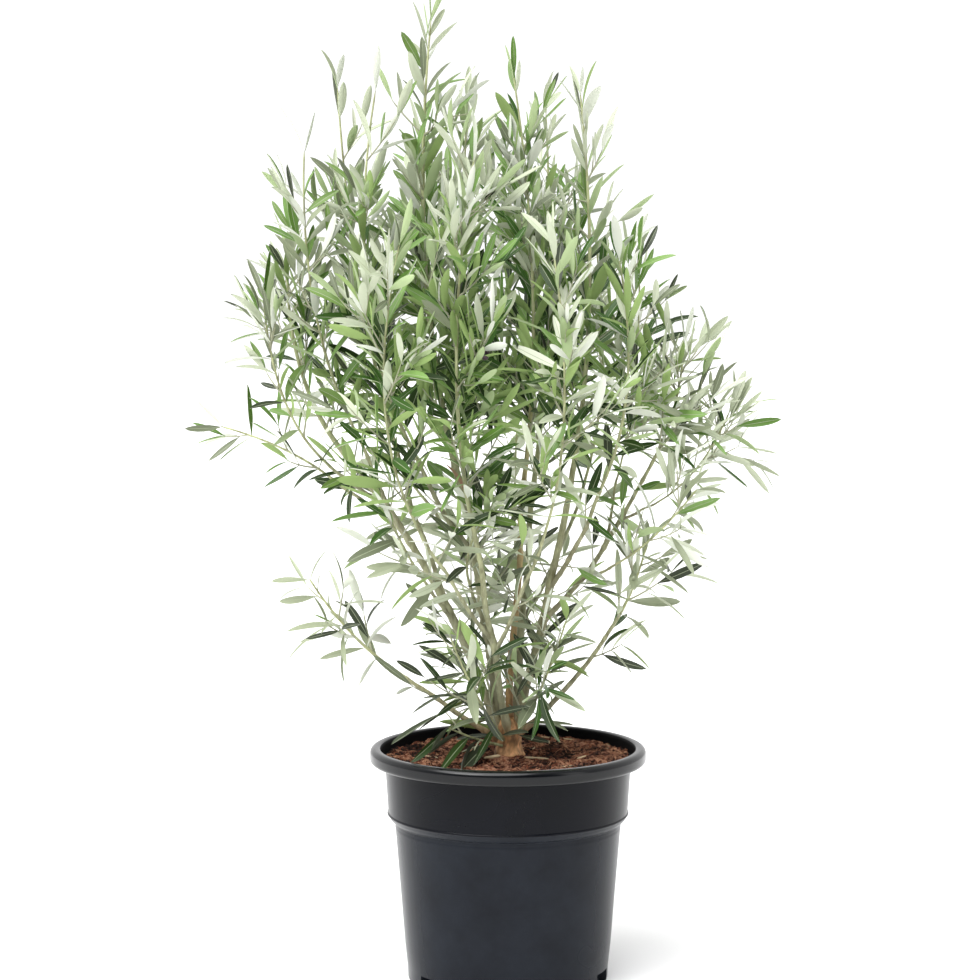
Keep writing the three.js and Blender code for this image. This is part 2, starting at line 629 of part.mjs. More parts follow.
// Whether a blade would run close by one that stands on another node.
function crowded(leaf, standing) {
  return standing.some((other) => {
    if (other.root.distanceTo(leaf.root) < SAME_NODE) return false;
    const axis = makeLine([other.root, other.root.clone().addScaledVector(other.way, other.length)]);
    return [0.15, 0.3, 0.45, 0.6, 0.75, 0.9, 1].some((share) => {
      const spot = leaf.root.clone().addScaledVector(leaf.way, leaf.length * share);
      return distanceToLine(spot, axis) < LEAF_BERTH;
    });
  });
}

// Opposite pairs of leaves, each pair a quarter turn from the last, counted from the tip down.
function growLeaves(own, stems, limbs, line, k, i, standing) {
  const foot = i ? BARE_SHOOT : BARE_STEM;
  const count = Math.floor((line.total - foot) / NODE_PITCH) + 1;
  const start = 360 * chance(k, i, DRAW.leafStart);
  for (let j = 0; j < count; j += NODE_STRIDE) {
    const distance = line.total - j * NODE_PITCH - (j ? LOWER_PAIR : END_PAIR);
    if (distance < foot) continue;
    const place = along(line, distance);
    const fresh = Math.max(0, 1 - (line.total - distance) / FRESH_LENGTH);
    const pair = start + 90 * j + LEAF_SPIN_STRAY * either(k, i, j, DRAW.leafSpin);
    for (const side of [0, 1]) {
      const stray = LEAF_ANGLE_STRAY * either(k, i, j, side, DRAW.leafAngle);
      for (const turn of LEAF_TURNS) {
        const angle = LEAF_ANGLE - FRESH_CLOSING * fresh + stray;
        const towards = leaving(place, angle, pair + 180 * side + turn);
        towards.way.addScaledVector(UP, own.droops ? DROOP : LEAF_LIFT).normalize();
        const leaf = makeLeaf(place, towards, k, i, j, side, fresh);
        if (crowded(leaf, standing)) continue;
        if (keepsToItself(own, stems, limbs, leafSpots(leaf), leaf.thickness / 2)) {
          standing.push(leaf);
          break;
        }
      }
    }
  }
}

function foliageSolid(own, stems, limbs, k) {
  let solid = limbSolid(own.line, (t) => own.foot + (STEM_TIP - own.foot) * t, 4);
  const lines = [own.line];
  for (let i = 0; i < own.shoots; i += 1) {
    const shoot = growShoot(own, stems, limbs, k, i);
    lines.push(shoot);
    if (shoot) solid = solid.add(limbSolid(shoot, (t) => shoot.foot + (TWIG_TIP - shoot.foot) * t, 3));
  }
  const leaves = [];
  lines.forEach((line, i) => {
    if (line) growLeaves(own, stems, limbs, line, k, i, leaves);
  });
  for (const leaf of leaves) solid = solid.add(leafSolid(leaf));
  return solid;
}

// ---- assembly --------------------------------------------------------------------------------
const tree = new THREE.Group();
tree.name = 'potted_olive_tree';

function add(name, geometry, look) {
  const mesh = new THREE.Mesh(geometry, new THREE.MeshStandardMaterial(LOOKS[look]));
  mesh.name = name;
  tree.add(mesh);
}

add('pot', potGeometry(), 'pot');
add('soil', soilGeometry(), 'soil');
add('trunk', geometryFrom(trunkSolid()), 'trunk');

const trunkGrown = trunkSolid(GAP);
const limbs = growLimbs();
for (const [name, solid] of Object.entries(limbSolids(limbs, trunkGrown))) {
  add(name, geometryFrom(solid), 'limb');
}

const stems = growStems(limbs);
Object.values(stems).forEach((own, k) => {
  const mass = foliageSolid(own, stems, limbs, k);
  add(own.node, geometryFrom(limbs[own.name] ? mass : mass.subtract(trunkGrown)), 'foliage');
});

export default tree;
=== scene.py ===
# A young olive tree with several stems, in a black nursery pot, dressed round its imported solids.
# Sizes are millimetres until a mesh is made, and metres in Blender. +Z is up, +X is to the right
# and +Y is away from the camera. The origin is the middle of the pot's underside.
import json
from math import asin, copysign, cos, exp, hypot, inf, pi, radians, sin, sqrt

import bpy
import numpy as np
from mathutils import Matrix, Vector
from mathutils.noise import noise

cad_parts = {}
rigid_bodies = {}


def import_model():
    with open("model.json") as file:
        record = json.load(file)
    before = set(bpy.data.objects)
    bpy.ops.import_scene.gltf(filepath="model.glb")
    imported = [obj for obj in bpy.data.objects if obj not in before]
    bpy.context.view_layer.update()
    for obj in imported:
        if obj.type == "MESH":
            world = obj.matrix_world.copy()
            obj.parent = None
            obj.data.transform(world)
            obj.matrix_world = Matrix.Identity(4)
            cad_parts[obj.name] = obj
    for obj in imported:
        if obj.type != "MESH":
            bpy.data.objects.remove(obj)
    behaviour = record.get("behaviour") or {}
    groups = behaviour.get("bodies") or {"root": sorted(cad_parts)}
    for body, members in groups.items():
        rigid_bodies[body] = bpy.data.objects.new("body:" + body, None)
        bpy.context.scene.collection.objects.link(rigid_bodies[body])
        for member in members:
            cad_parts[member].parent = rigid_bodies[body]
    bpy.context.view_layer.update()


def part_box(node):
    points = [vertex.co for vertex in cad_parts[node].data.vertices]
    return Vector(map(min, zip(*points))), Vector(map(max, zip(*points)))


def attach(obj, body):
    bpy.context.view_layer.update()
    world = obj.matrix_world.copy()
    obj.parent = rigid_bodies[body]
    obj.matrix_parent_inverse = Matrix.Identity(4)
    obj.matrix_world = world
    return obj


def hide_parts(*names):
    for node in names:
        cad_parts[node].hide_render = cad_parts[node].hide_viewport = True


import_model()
MM = 0.001

# ---- the limbs and masses, as in the solids ----
LIMB_STEPS = 5
TIP_SHARE = 0.62
FORK_SHARE = 0.72
WANDER = 2.2
GROUND = 247.0
SOIL_MEAN = 243.5
SOIL_COLLAR = 24.0
SOIL_EDGE = 135.0
SOIL_FADE = 30.0
SOIL_SLOPE = 0.022
GAP = 0.3
STEM_GAP = GAP + 0.05
STEM_STIFF = 0.45
SPRIG_BOW = np.array([0.6, 0.6, 0.45])
GOLDEN_ANGLE = 137.5
SHOOT_ANGLE = 48
SHOOT_LIFT = 0.34
NODE_PITCH = 21.0
LIMB_MARGIN = 0.9
LOWEST_INSIDE = 251.0
LOWEST_OUTSIDE = 258.0
INSIDE = 126.0

# name, parent, foot or share of the parent, tip, radius, bow, top of the leafy stem, shoots, reach
LIMBS = [
    ("left_stem", "trunk", (-9, 5, 270), (-60, 10, 572), 6, -0.08, (-82, -5, 1034), 8, 74),
    ("centre_stem", "trunk", (1, 1, 272), (19, 0, 560), 4.2, -0.1, (6, 15, 975), 7, 82),
    ("back_stem", "trunk", (5, 9, 270), (32, 72, 560), 4.5, 0, (42, 100, 938), 6, 78),
    ("front_stem", "trunk", (1, -10, 270), (-38, -78, 505), 4, 0, (-34, -106, 900), 6, 88),
    ("left_front_stem", "trunk", (-8, -6.5, 268), (-178, 12, 574), 4.8, -0.12, (-238, 30, 800), 4, 58),
    ("right_stem", "trunk", (9.5, -3.5, 270), (70, -10, 560), 4.9, 0.03, (76, -20, 956), 5, 48),
    ("low_left_bough", "trunk", (-8, -1, 261), (-128, -20, 346), 3.2, 0.02, (-212, -35, 442), 4, 50),
    ("low_right_bough", "trunk", (8, 0, 266), (112, -15, 388), 3.2, 0.1, (148, -25, 478), 4, 62),
    ("left_fork_bough", "left_stem", 0.45, (-46, 92, 562), 3.6, 0.1, (-44, 108, 950), 6, 84),
    ("upper_left_bough", "left_stem", 0.62, (-102, -20, 578), 3.2, 0.05, (-140, -32, 960), 5, 72),
    ("tall_left_bough", "left_front_stem", 0.42, (-125, 46, 588), 3.2, 0.05, (-184, 48, 966), 5, 56),
    ("outer_left_bough", "left_front_stem", 0.66, (-165, -15, 602), 2.8, 0.05, (-216, -22, 896), 4, 54),
    ("wide_left_bough", "left_front_stem", 0.8, (-198, -42, 572), 2.6, 0.05, (-258, -52, 742), 3, 46),
    ("long_left_bough", "left_front_stem", 0.72, (-188, -5, 546), 2.4, 0, (-306, -15, 604), 3, 48),
    ("front_left_bough", "front_stem", 0.45, (-98, -98, 510), 3, 0.05, (-112, -138, 800), 5, 86),
    ("front_right_bough", "front_stem", 0.4, (38, -104, 500), 3, 0.05, (44, -148, 800), 5, 86),
    ("back_left_bough", "left_fork_bough", 0.35, (-112, 132, 540), 2.8, 0.1, (-132, 172, 810), 5, 90),
    ("back_right_bough", "back_stem", 0.4, (88, 138, 535), 3, 0.1, (100, 176, 795), 5, 90),
    ("back_low_bough", "back_stem", 0.22, (10, 150, 440), 2.8, 0.1, (15, 210, 640), 4, 88),
    ("inner_right_bough", "right_stem", 0.55, (104, -50, 555), 2.8, 0.1, (116, -62, 782), 4, 76),
    ("right_fan_bough", "right_stem", 0.42, (156, 0, 566), 3, 0.1, (188, -10, 694), 4, 62),
    ("outer_right_bough", "right_fan_bough", 0.5, (122, 60, 550), 2.2, 0.05, (144, 72, 756), 4, 70),
    ("far_right_bough", "right_fan_bough", 0.66, (163, 18, 520), 2, 0.05, (238, 15, 616), 4, 54),
    ("low_fan_bough", "right_fan_bough", 0.3, (120, -40, 462), 2.2, 0.1, (200, -48, 540), 4, 60),
    ("left_low_bough", "left_front_stem", 0.38, (-92, -45, 445), 2.4, 0.05, (-140, -66, 548), 3, 54),
    ("inner_low_bough", "left_stem", 0.35, (-42, -40, 440), 2.4, 0.05, (-15, -72, 528), 3, 72),
]
# name, foot, top, shoots, reach of the leafy sprigs that spring from the trunk
SPRIGS = [
    ("front_low_sprig", (-3, -9, 262), (-62, -78, 388), 4, 75),
    ("right_low_sprig", (8, -6, 264), (62, -45, 400), 4, 72),
    ("back_low_sprig", (-3, 9, 262), (-45, 78, 410), 4, 80),
    ("drooping_sprig", (-5, -9, 257), (-64, -64, 287), 3, 40),
]
DROOPING = "drooping_sprig"
TRUNK_STATIONS = [(0, 17.2, 0.1), (4, 15.3, 0.08), (10, 13.6, 0.06), (18, 13.7, 0.05),
                  (27, 15.3, 0.05), (34, 14.7, 0.04), (39, 11.0, 0.02)]
TRUNK_LEAN = (1.5, 0.5)
FLARE_LOBES = 5

# ---- what the scene carries further ----
FINE_STEPS = 12  # stations along a leafy stem
SHOOT_STEPS = 8
STEM_TIP = 0.9
SPRIG_FOOT = 1.6
TWIG_FOOT = 1.25
TWIG_TIP = 0.65
TWIG_MINGLING = 10.0  # how far a twig passes into the next mass
LEAF_MINGLING = 24.0
# a shoot's turns round the stem and shares of its length, tried in order until one is clear
SHOOT_TURNS = (0, 40, -40, 80)
SHOOT_SHARES = (1, 0.8, 0.62)
SHOOT_AT_FOOT, SHOOT_SHORTENS = 1.05, 0.45  # its length over the mass's reach, less up the stem
# plain and finer shoots: number of the first, times the mass's count, shares of the stem below
# them and along them, shares of the full reach and thickness
SHOOT_KINDS = [(0, 1, 0.03, 0.85, 1.0, 1.0), (100, 2, 0.02, 0.92, 0.82, 0.85)]
TWIGLET_PITCH = 20
TWIGLET_LENGTH, TWIGLET_MORE = 20, 22
TWIGLET_ANGLE, TWIGLET_TURN, TWIGLET_LIFT, TWIGLET_STEPS = 44, 160, 0.08, 4
TWIGLET_FOOT = 0.8
TWIGLET_LEAST = 0.12  # the share of twiglets that stand even at the outline
SPUR_PITCH = 27.0
SPURS_FROM = 300.0
SPUR_LENGTH, SPUR_MORE = 12, 48
SPUR_ANGLE, SPUR_LIFT, SPUR_STEPS = 52, 0.05, 5
SPUR_FOOT = 0.95
SPURS_OFTEN = ((110, 0.9), (-60, 0.6), (-inf, 0.3))  # right of an x, this share of spurs stands

LEAF_PITCH = 16.0
LEAF_LENGTH = 52.0
LEAF_WIDTH_SHARE = 0.17
LEAF_CLEAR = 0.4
BARE_STEM, BARE_SHOOT = 4.0, 7.0  # lengths without leaves at the foot of a stem and of a shoot
FIRST_PAIR, LATER_PAIRS = 0.8, 1.5  # how far below the tip the pairs are counted from
FRESH_LENGTH = 60  # how much of a twig's tip carries young leaves
# degrees between a leaf and its twig; less high in the crown and at a twig's tip, more at an edge
LEAF_ANGLE, STEEP_CLOSES, FRESH_CLOSES, STEEP_FRESH_OPENS, EDGE_OPENS = 54, 12, 28, 6, 13
ANGLE_SWING, SPIN_SWING, TWIST_SWING = 16, 25, 55  # the widest random turns, in degrees
LIFT_SWING, LENGTH_SWING, WIDTH_SWING = 0.16, 0.24, 0.05
LEAF_TURNS = (0, 35, -35)  # turns round the twig tried until a leaf is clear
RISE_HIGH, SAG_LOW = 0.22, 0.5  # how leaves bend up high in the crown, and less low in it
FRESH_SHORTENS, LOW_LENGTHENS, DROOPING_LENGTH = 0.2, 0.1, 1.12
FOOT_SLIMS, DROOPING_WIDENS = 0.03, 0.03
HANGING = np.array([-0.22, -0.75, -0.68])
HANGING_HOLD = 0.6  # how much a hanging leaf keeps of its course from the twig
# places on a leaf that have to be clear: shares of its length and of its width
LEAF_TESTS = np.array([(0.12, 0), (0.25, 0.3), (0.25, -0.3), (0.36, 0), (0.48, 0.5), (0.48, -0.5),
                       (0.6, 0), (0.74, 0.42), (0.74, -0.42), (0.87, 0), (1.0, 0)])

CROWN_HEART = np.array([-30.0, 0.0, 735.0])
CROWN_REACH = np.array([235.0, 210.0, 285.0])
TOP_SHARE = 0.9  # how much height counts beside width in finding the crown's edge
# ramps from one value to another, of heights unless named otherwise
STEEP = (560, 790)
LOW = (620, 460)
UNDER = (560, 470)
FOOT = (460, 360)
FOOT_ASIDE = (150, 90)  # of distances aside from the middle of the burl
FOOT_MIDDLE = 10
SLIM = (470, 400)
HEART = (810, 690)
EDGE = (0.6, 0.95)  # of sideness
OUTER = (0.75, 1.0)  # of sideness
FULL = (1.0, 0.5)  # of outerness
TOP_BARE = (840, 960)
TOP_THIN = (840, 930)
TOP_LEFT_OUT, OUTER_LEFT_OUT, TOP_THINNING = 0.5, 0.3, 0.75
OPENING_EDGE = (1.3, 0.8)  # of distances over an opening's half size
# open places in the crown: middle x and z, half width and half height, share of pairs left out
OPENINGS = [(-150, 452, 52, 45, 0.75), (-95, 370, 42, 55, 0.5), (-205, 562, 46, 34, 0.7),
            (-245, 865, 34, 40, 0.6), (-255, 628, 26, 24, 0.5), (-152, 925, 34, 60, 0.55),
            (75, 915, 45, 60, 0.5), (115, 865, 42, 90, 0.65), (172, 742, 42, 66, 0.65),
            (210, 640, 30, 34, 0.5), (112, 508, 30, 30, 0.5)]
# sides that are full to the outline: share of shoots, ramp across, middle height, ramp from it
FULL_SIDES = [(0.6, (90, 130), 630, (90, 50)), (0.85, (-140, -175), 745, (90, 60))]

UP = np.array([0.0, 0.0, 1.0])


# ---- chance ----
def chance(*keys):
    """A number from nought to one that depends on nothing but the keys; the last names the draw."""
    h = 0x811C9DC5
    for key in keys:
        h = ((h ^ (key & 0xFFFFFFFF)) * 0x01000193) & 0xFFFFFFFF
        h ^= h >> 15
        h = (h * 0x2C1B3C6D) & 0xFFFFFFFF
        h ^= h >> 12
    h = (h * 0x297A2D39) & 0xFFFFFFFF
    h ^= h >> 15
    return h / 2 ** 32


def either(*keys):
    """The same from minus one to one."""
    return 2 * chance(*keys) - 1


# ---- lines ----
def unit(v):
    return v / np.linalg.norm(v)


class Line:
    """A polyline with a direction and a carried side vector for each segment."""

    def __init__(self, points):
        self.points = np.array(points, float)
        steps = np.diff(self.points, axis=0)
        self.lengths = np.linalg.norm(steps, axis=1)
        self.directions = steps / self.lengths[:, None]
        self.total = float(self.lengths.sum())
        self.walked = np.concatenate([[0], np.cumsum(self.lengths)])
        self.sides = []
        side = np.array([0.0, 1, 0] if abs(self.directions[0, 0]) > 0.9 else [1.0, 0, 0])
        for way in self.directions:
            side = unit(side - way * (side @ way))
            self.sides.append(side)

    def along(self, distance):
        """The point so far along, with the direction, the side vector and the third one there."""
        left = distance
        i = 0
        while left > self.lengths[i] and i < len(self.lengths) - 1:
            left -= self.lengths[i]
            i += 1
        way = self.directions[i]
        side = self.sides[i]
        return self.points[i] + way * left, way, side, np.cross(way, side)


def bezier(start, control, end, steps):
    t = np.linspace(0, 1, steps + 1)[:, None]
    return (1 - t) ** 2 * start + 2 * t * (1 - t) * control + t * t * end


def smoothed(points, steps):
    """A smooth curve through the points, with so many steps between each two."""
    p = np.vstack([2 * points[0] - points[1], points, 2 * points[-1] - points[-2]])
    out = []
    for i in range(1, len(p) - 2):
        for s in range(steps):
            t = s / steps
            out.append(0.5 * (2 * p[i] + (p[i + 1] - p[i - 1]) * t
                              + (2 * p[i - 1] - 5 * p[i] + 4 * p[i + 1] - p[i + 2]) * t * t
                              + (3 * p[i] - p[i - 1] - 3 * p[i + 1] + p[i + 2]) * t ** 3))
    out.append(points[-1])
    return np.array(out)


def leaving(place, angle, spin):
    """The way out from a line's side, and the course that leaves at an angle; both in degrees."""
    _, way, side, over = place
    out = side * cos(radians(spin)) + over * sin(radians(spin))
    return out, way * cos(radians(angle)) + out * sin(radians(angle))


def course(start, way, length, steps, lift):
    """Points from a start one way, bent up by a little at each step."""
    points = [start]
    for _ in range(steps):
        way = unit(way + UP * lift)
        points.append(points[-1] + way * length / steps)
    return np.array(points)


def ramp(value, start, end):
    return min(1.0, max(0.0, (value - start) / (end - start)))


# ---- limbs and stems ----
def grow_limbs():
    limbs = {}
    for k, (name, parent, foot, tip, radius, bow, top, shoots, reach) in enumerate(LIMBS):
        if parent == "trunk":
            start = np.array(foot, float)
        else:
            mother = limbs[parent]
            start = mother["line"].along(foot * mother["line"].total)[0]
            radius = min(radius, FORK_SHARE * mother["radius"] * (1 - (1 - TIP_SHARE) * foot))
        end = np.array(tip, float)
        control = start + (end - start) * np.array([0.5 + bow, 0.5 + bow, 0.5 - bow])
        points = bezier(start, control, end, LIMB_STEPS)
        for i in range(LIMB_STEPS + 1):
            t = i / LIMB_STEPS
            sway = min(1, 8 * t * (1 - t)) * WANDER
            points[i, 0] += sway * either(k, i, 41)
            points[i, 1] += sway * either(k, i, 42)
        limbs[name] = dict(name=name, parent=parent, share=foot, radius=radius, line=Line(points),
                           top=np.array(top, float), shoots=shoots, reach=reach)
    return limbs


def grow_stems(limbs):
    """The leafy stem of each mass: on from a limb's tip, or up from the trunk."""
    stems = {}
    for limb in limbs.values():
        way = limb["line"].directions[-1]
        start = limb["line"].points[-1] + way * STEM_GAP
        control = start + way * STEM_STIFF * np.linalg.norm(limb["top"] - start)
        line = Line(bezier(start, control, limb["top"], FINE_STEPS))
        stems[limb["name"]] = dict(limb, line=line, foot=limb["radius"] * TIP_SHARE)
    for name, foot, top, shoots, reach in SPRIGS:
        start = np.array(foot, float)
        end = np.array(top, float)
        control = start + (end - start) * SPRIG_BOW
        line = Line(bezier(start, control, end, FINE_STEPS))
        stems[name] = dict(name=name, line=line, foot=SPRIG_FOOT, shoots=shoots, reach=reach)
    return stems


class Space:
    """Which mass a point belongs to, and how far it is from the limbs."""

    def __init__(self, stems, limbs):
        self.order = list(stems)
        self.starts, self.ends, self.owner = self.segments(stems)
        self.limb_starts, self.limb_ends, which = self.segments(limbs)
        self.limb_radii = np.array([limb["radius"] for limb in limbs.values()])[which]

    @staticmethod
    def segments(grown):
        lines = [each["line"] for each in grown.values()]
        starts = np.concatenate([line.points[:-1] for line in lines])
        ends = np.concatenate([line.points[1:] for line in lines])
        owner = np.concatenate([[i] * (len(line.points) - 1) for i, line in enumerate(lines)])
        return starts, ends, owner

    @staticmethod
    def distances(spots, starts, ends):
        span = ends - starts
        off = spots[:, None, :] - starts[None]
        t = np.clip((off * span).sum(-1) / (span * span).sum(-1), 0, 1)
        return np.linalg.norm(off - span * t[..., None], axis=-1)

    def keeps(self, name, spots, thickness, mingling):
        """Whether all the spots are in the mass's own space, above the ground, clear of limbs."""
        inside = np.hypot(spots[:, 0], spots[:, 1]) < INSIDE
        if (spots[:, 2] < np.where(inside, LOWEST_INSIDE, LOWEST_OUTSIDE) + thickness).any():
            return False
        if name in self.order:
            mine = self.owner == self.order.index(name)
            far = self.distances(spots, self.starts, self.ends)
            if (far[:, mine].min(1) - mingling > far[:, ~mine].min(1)).any():
                return False
        clear = self.distances(spots, self.limb_starts, self.limb_ends) - self.limb_radii
        return clear.min() > LIMB_MARGIN + thickness


# ---- places in the crown ----
def outerness(spot):
    """Nought at the heart of the crown, one at its outline, more beyond."""
    return float(np.linalg.norm((spot - CROWN_HEART) / CROWN_REACH))


def sideness(spot):
    """As outerness, but the crown's underside doesn't count, and its top a little less."""
    aside = (spot - CROWN_HEART) / CROWN_REACH
    aside[2] = TOP_SHARE * max(0.0, aside[2])
    return float(np.linalg.norm(aside))


def lowness(spot):
    """Nought in the crown, one among the limbs under it."""
    return ramp(spot[2], *LOW)


def shade_zones(spot):
    """How far a place is in the heart, above it, at an edge, under the crown, by the foot; the leaf
    tints dealt by these paint light and shade.
    """
    foot = ramp(spot[2], *FOOT) * ramp(abs(spot[0] - FOOT_MIDDLE), *FOOT_ASIDE)
    under = ramp(spot[2], *UNDER) * (1 - foot)
    edge = ramp(sideness(spot), *EDGE) * (1 - under - foot)
    rest = 1 - edge - under - foot
    heart = ramp(spot[2], *HEART) * rest
    return heart, rest - heart, edge, under, foot


def openness(spot):
    """The share of leaf pairs that an opening leaves out at a place, most in its middle."""
    share = 0.0
    for x, z, wide, high, left_out in OPENINGS:
        off = hypot((spot[0] - x) / wide, (spot[2] - z) / high)
        share = max(share, left_out * ramp(off, *OPENING_EDGE))
    return share


def fullness(spot):
    """How many of the finer shoots stand at a place: all in the heart, few at the outline."""
    shares = [share * ramp(spot[0], *across) * ramp(abs(spot[2] - middle), *away)
              for share, across, middle, away in FULL_SIDES]
    thinning = 1 - TOP_THINNING * ramp(spot[2], *TOP_THIN)
    return max(*shares, ramp(outerness(spot), *FULL) * thinning)


# ---- foliage ----
def grow_shoot(space, own, k, i, t, place, reach, slim):
    """A side shoot as in the solids, tried at full length and shorter, or skipped."""
    length = reach * (SHOOT_AT_FOOT - SHOOT_SHORTENS * t) * (1 + 0.22 * either(k, i, 4))
    lift = (-SHOOT_LIFT if own["name"] == DROOPING else SHOOT_LIFT) / SHOOT_STEPS
    angle = SHOOT_ANGLE + 10 * either(k, i, 3)
    for turn in SHOOT_TURNS:
        spin = GOLDEN_ANGLE * i + 360 * chance(k, 99) + 30 * either(k, i, 2) + turn
        _, way = leaving(place, angle, spin)
        for share in SHOOT_SHARES:
            points = course(place[0], way, length * share, SHOOT_STEPS, lift)
            if space.keeps(own["name"], points[1:], TWIG_FOOT, TWIG_MINGLING):
                stem_radius = own["foot"] + (STEM_TIP - own["foot"]) * t
                return Line(points), min(TWIG_FOOT * slim, 0.8 * stem_radius)
    return None


def grow_shoots(space, own, k):
    """The plain shoots and the finer ones of a mass, each with its number."""
    shoots = []
    for first, times, below, along, reach, slim in SHOOT_KINDS:
        count = times * own["shoots"]
        for i in range(first, first + count):
            t = below + along * (i - first + 0.3 + 0.4 * chance(k, i, 1)) / count
            place = own["line"].along(t * own["line"].total)
            if first and chance(k, i, 35) >= fullness(place[0]):
                continue
            shoot = grow_shoot(space, own, k, i, t, place, reach * own["reach"], slim)
            if shoot:
                shoots.append((i, shoot))
    return shoots


def grow_twiglets(space, own, shoot, k, i):
    """Short twigs on a side shoot, each with its number."""
    twiglets = []
    standing = TWIGLET_LEAST + (1 - TWIGLET_LEAST) * fullness(shoot.points[-1])
    for n in range(int(shoot.total // TWIGLET_PITCH)):
        if chance(k, i, n, 36) > standing:
            continue
        place = shoot.along(TWIGLET_PITCH * (n + 0.2 + 0.5 * chance(k, i, n, 31)))
        length = TWIGLET_LENGTH + TWIGLET_MORE * chance(k, i, n, 32)
        spin = TWIGLET_TURN * n + 360 * chance(k, i, 33)
        _, way = leaving(place, TWIGLET_ANGLE + 10 * either(k, i, n, 34), spin)
        points = course(place[0], way, length, TWIGLET_STEPS, TWIGLET_LIFT)
        if space.keeps(own["name"], points[1:], TWIG_TIP, TWIG_MINGLING):
            twiglets.append((n, Line(points)))
    return twiglets


def grow_leaf(space, name, place, keys, spin, steep, fresh, outer):
    """One leaf that leaves a twig at a place, or nothing where there is no room."""
    angle = (LEAF_ANGLE - STEEP_CLOSES * steep - (FRESH_CLOSES - STEEP_FRESH_OPENS * steep) * fresh
             + ANGLE_SWING * either(*keys, 9) + EDGE_OPENS * outer * (1 - fresh))
    lift = RISE_HIGH - SAG_LOW * (1 - steep) + LIFT_SWING * either(*keys, 14)
    length = (LEAF_LENGTH * (1 + LOW_LENGTHENS * lowness(place[0]))
              * (1 + LENGTH_SWING * either(*keys, 10)))
    if name == DROOPING:
        length *= DROOPING_LENGTH
        slender = -DROOPING_WIDENS
    else:
        length *= 1 - FRESH_SHORTENS * fresh
        slender = FOOT_SLIMS * ramp(place[0][2], *SLIM)
    width = length * (LEAF_WIDTH_SHARE - slender + WIDTH_SWING * either(*keys, 11))
    twist = radians(TWIST_SWING * either(*keys, 12))
    for turn in LEAF_TURNS:
        out, way = leaving(place, angle, spin + turn)
        way = unit(way * HANGING_HOLD + HANGING) if name == DROOPING else unit(way + UP * lift)
        broad = unit(np.cross(place[1], out))
        across = broad * cos(twist) + np.cross(way, broad) * sin(twist)
        root = place[0] + way * GAP
        spots = (root + np.outer(LEAF_TESTS[:, 0] * length, way)
                 + np.outer(LEAF_TESTS[:, 1] * width, across))
        if space.keeps(name, spots, LEAF_CLEAR, LEAF_MINGLING):
            return dict(root=root, way=way, across=across, length=length, width=width,
                        drooping=name == DROOPING, keys=keys)
    return None


def grow_leaves(space, name, line, k, i, spray):
    """Opposite pairs, each a quarter turn from the last, counted from the tip down."""
    leaves = []
    foot = BARE_SHOOT if i else BARE_STEM
    for j in range(int((line.total - foot) // LEAF_PITCH) + 1):
        distance = line.total - j * LEAF_PITCH - (LATER_PAIRS if j else FIRST_PAIR)
        if distance < foot:
            continue
        place = line.along(distance)
        height = place[0][2]
        outer = ramp(sideness(place[0]), *OUTER)
        bare = max(openness(place[0]), TOP_LEFT_OUT * ramp(height, *TOP_BARE),
                   OUTER_LEFT_OUT * outer)
        if j and chance(k, i, j, 13) < bare:
            continue
        fresh = max(0.0, 1 - (line.total - distance) / FRESH_LENGTH)
        for side in (0, 1):
            spin = 90 * j + 360 * chance(k, i, 7) + SPIN_SWING * either(k, i, j, 8) + 180 * side
            leaf = grow_leaf(space, name, place, (k, i, j, side), spin, ramp(height, *STEEP),
                             fresh, outer)
            if leaf:
                leaves.append(dict(leaf, spray=spray))
    return leaves


def grow_foliage(stems, limbs):
    """Everything leafy: twigs as (line, foot radius, tip radius), and leaves."""
    space = Space(stems, limbs)
    twigs = []
    leaves = []
    spray = 0
    for k, own in enumerate(stems.values()):
        lines = [(own["line"], 0)]
        for i, (shoot, foot) in grow_shoots(space, own, k):
            lines.append((shoot, i + 1))
            twigs.append((shoot, foot, TWIG_TIP))
            for n, twiglet in grow_twiglets(space, own, shoot, k, i):
                lines.append((twiglet, 1000 + 10 * i + n))
                twigs.append((twiglet, TWIGLET_FOOT, TWIG_TIP * 0.9))
        for line, i in lines:
            leaves += grow_leaves(space, own["name"], line, k, i, spray)
            spray += 1
    for k, i, spur in grow_spurs(space, limbs):
        twigs.append((spur, SPUR_FOOT, TWIG_TIP))
        leaves += grow_leaves(space, "spur", spur, k, i, spray)
        spray += 1
    return twigs, leaves


def grow_spurs(space, limbs):
    """Short twigs that stand on the limbs below their masses, each with its numbers."""
    spurs = []
    for k, limb in enumerate(limbs.values(), 200):
        line = limb["line"]
        for i in range(1, int(line.total // SPUR_PITCH)):
            place = line.along(SPUR_PITCH * (i + 0.6 * chance(k, i, 81)))
            often = next(share for x, share in SPURS_OFTEN if place[0][0] > x)
            if place[0][2] < SPURS_FROM or chance(k, i, 82) > often:
                continue
            length = SPUR_LENGTH + SPUR_MORE * chance(k, i, 83)
            spin = GOLDEN_ANGLE * i + 360 * chance(k, 85)
            _, way = leaving(place, SPUR_ANGLE + 16 * either(k, i, 84), spin)
            points = course(place[0], way, length, SPUR_STEPS, SPUR_LIFT)
            if space.keeps("spur", points[3:], TWIG_TIP, 0):
                spurs.append((k, i, Line(points)))
    return spurs


# ---- meshes ----
def add_object(name, data):
    added = bpy.data.objects.new(name, data)
    bpy.context.scene.collection.objects.link(added)
    return added


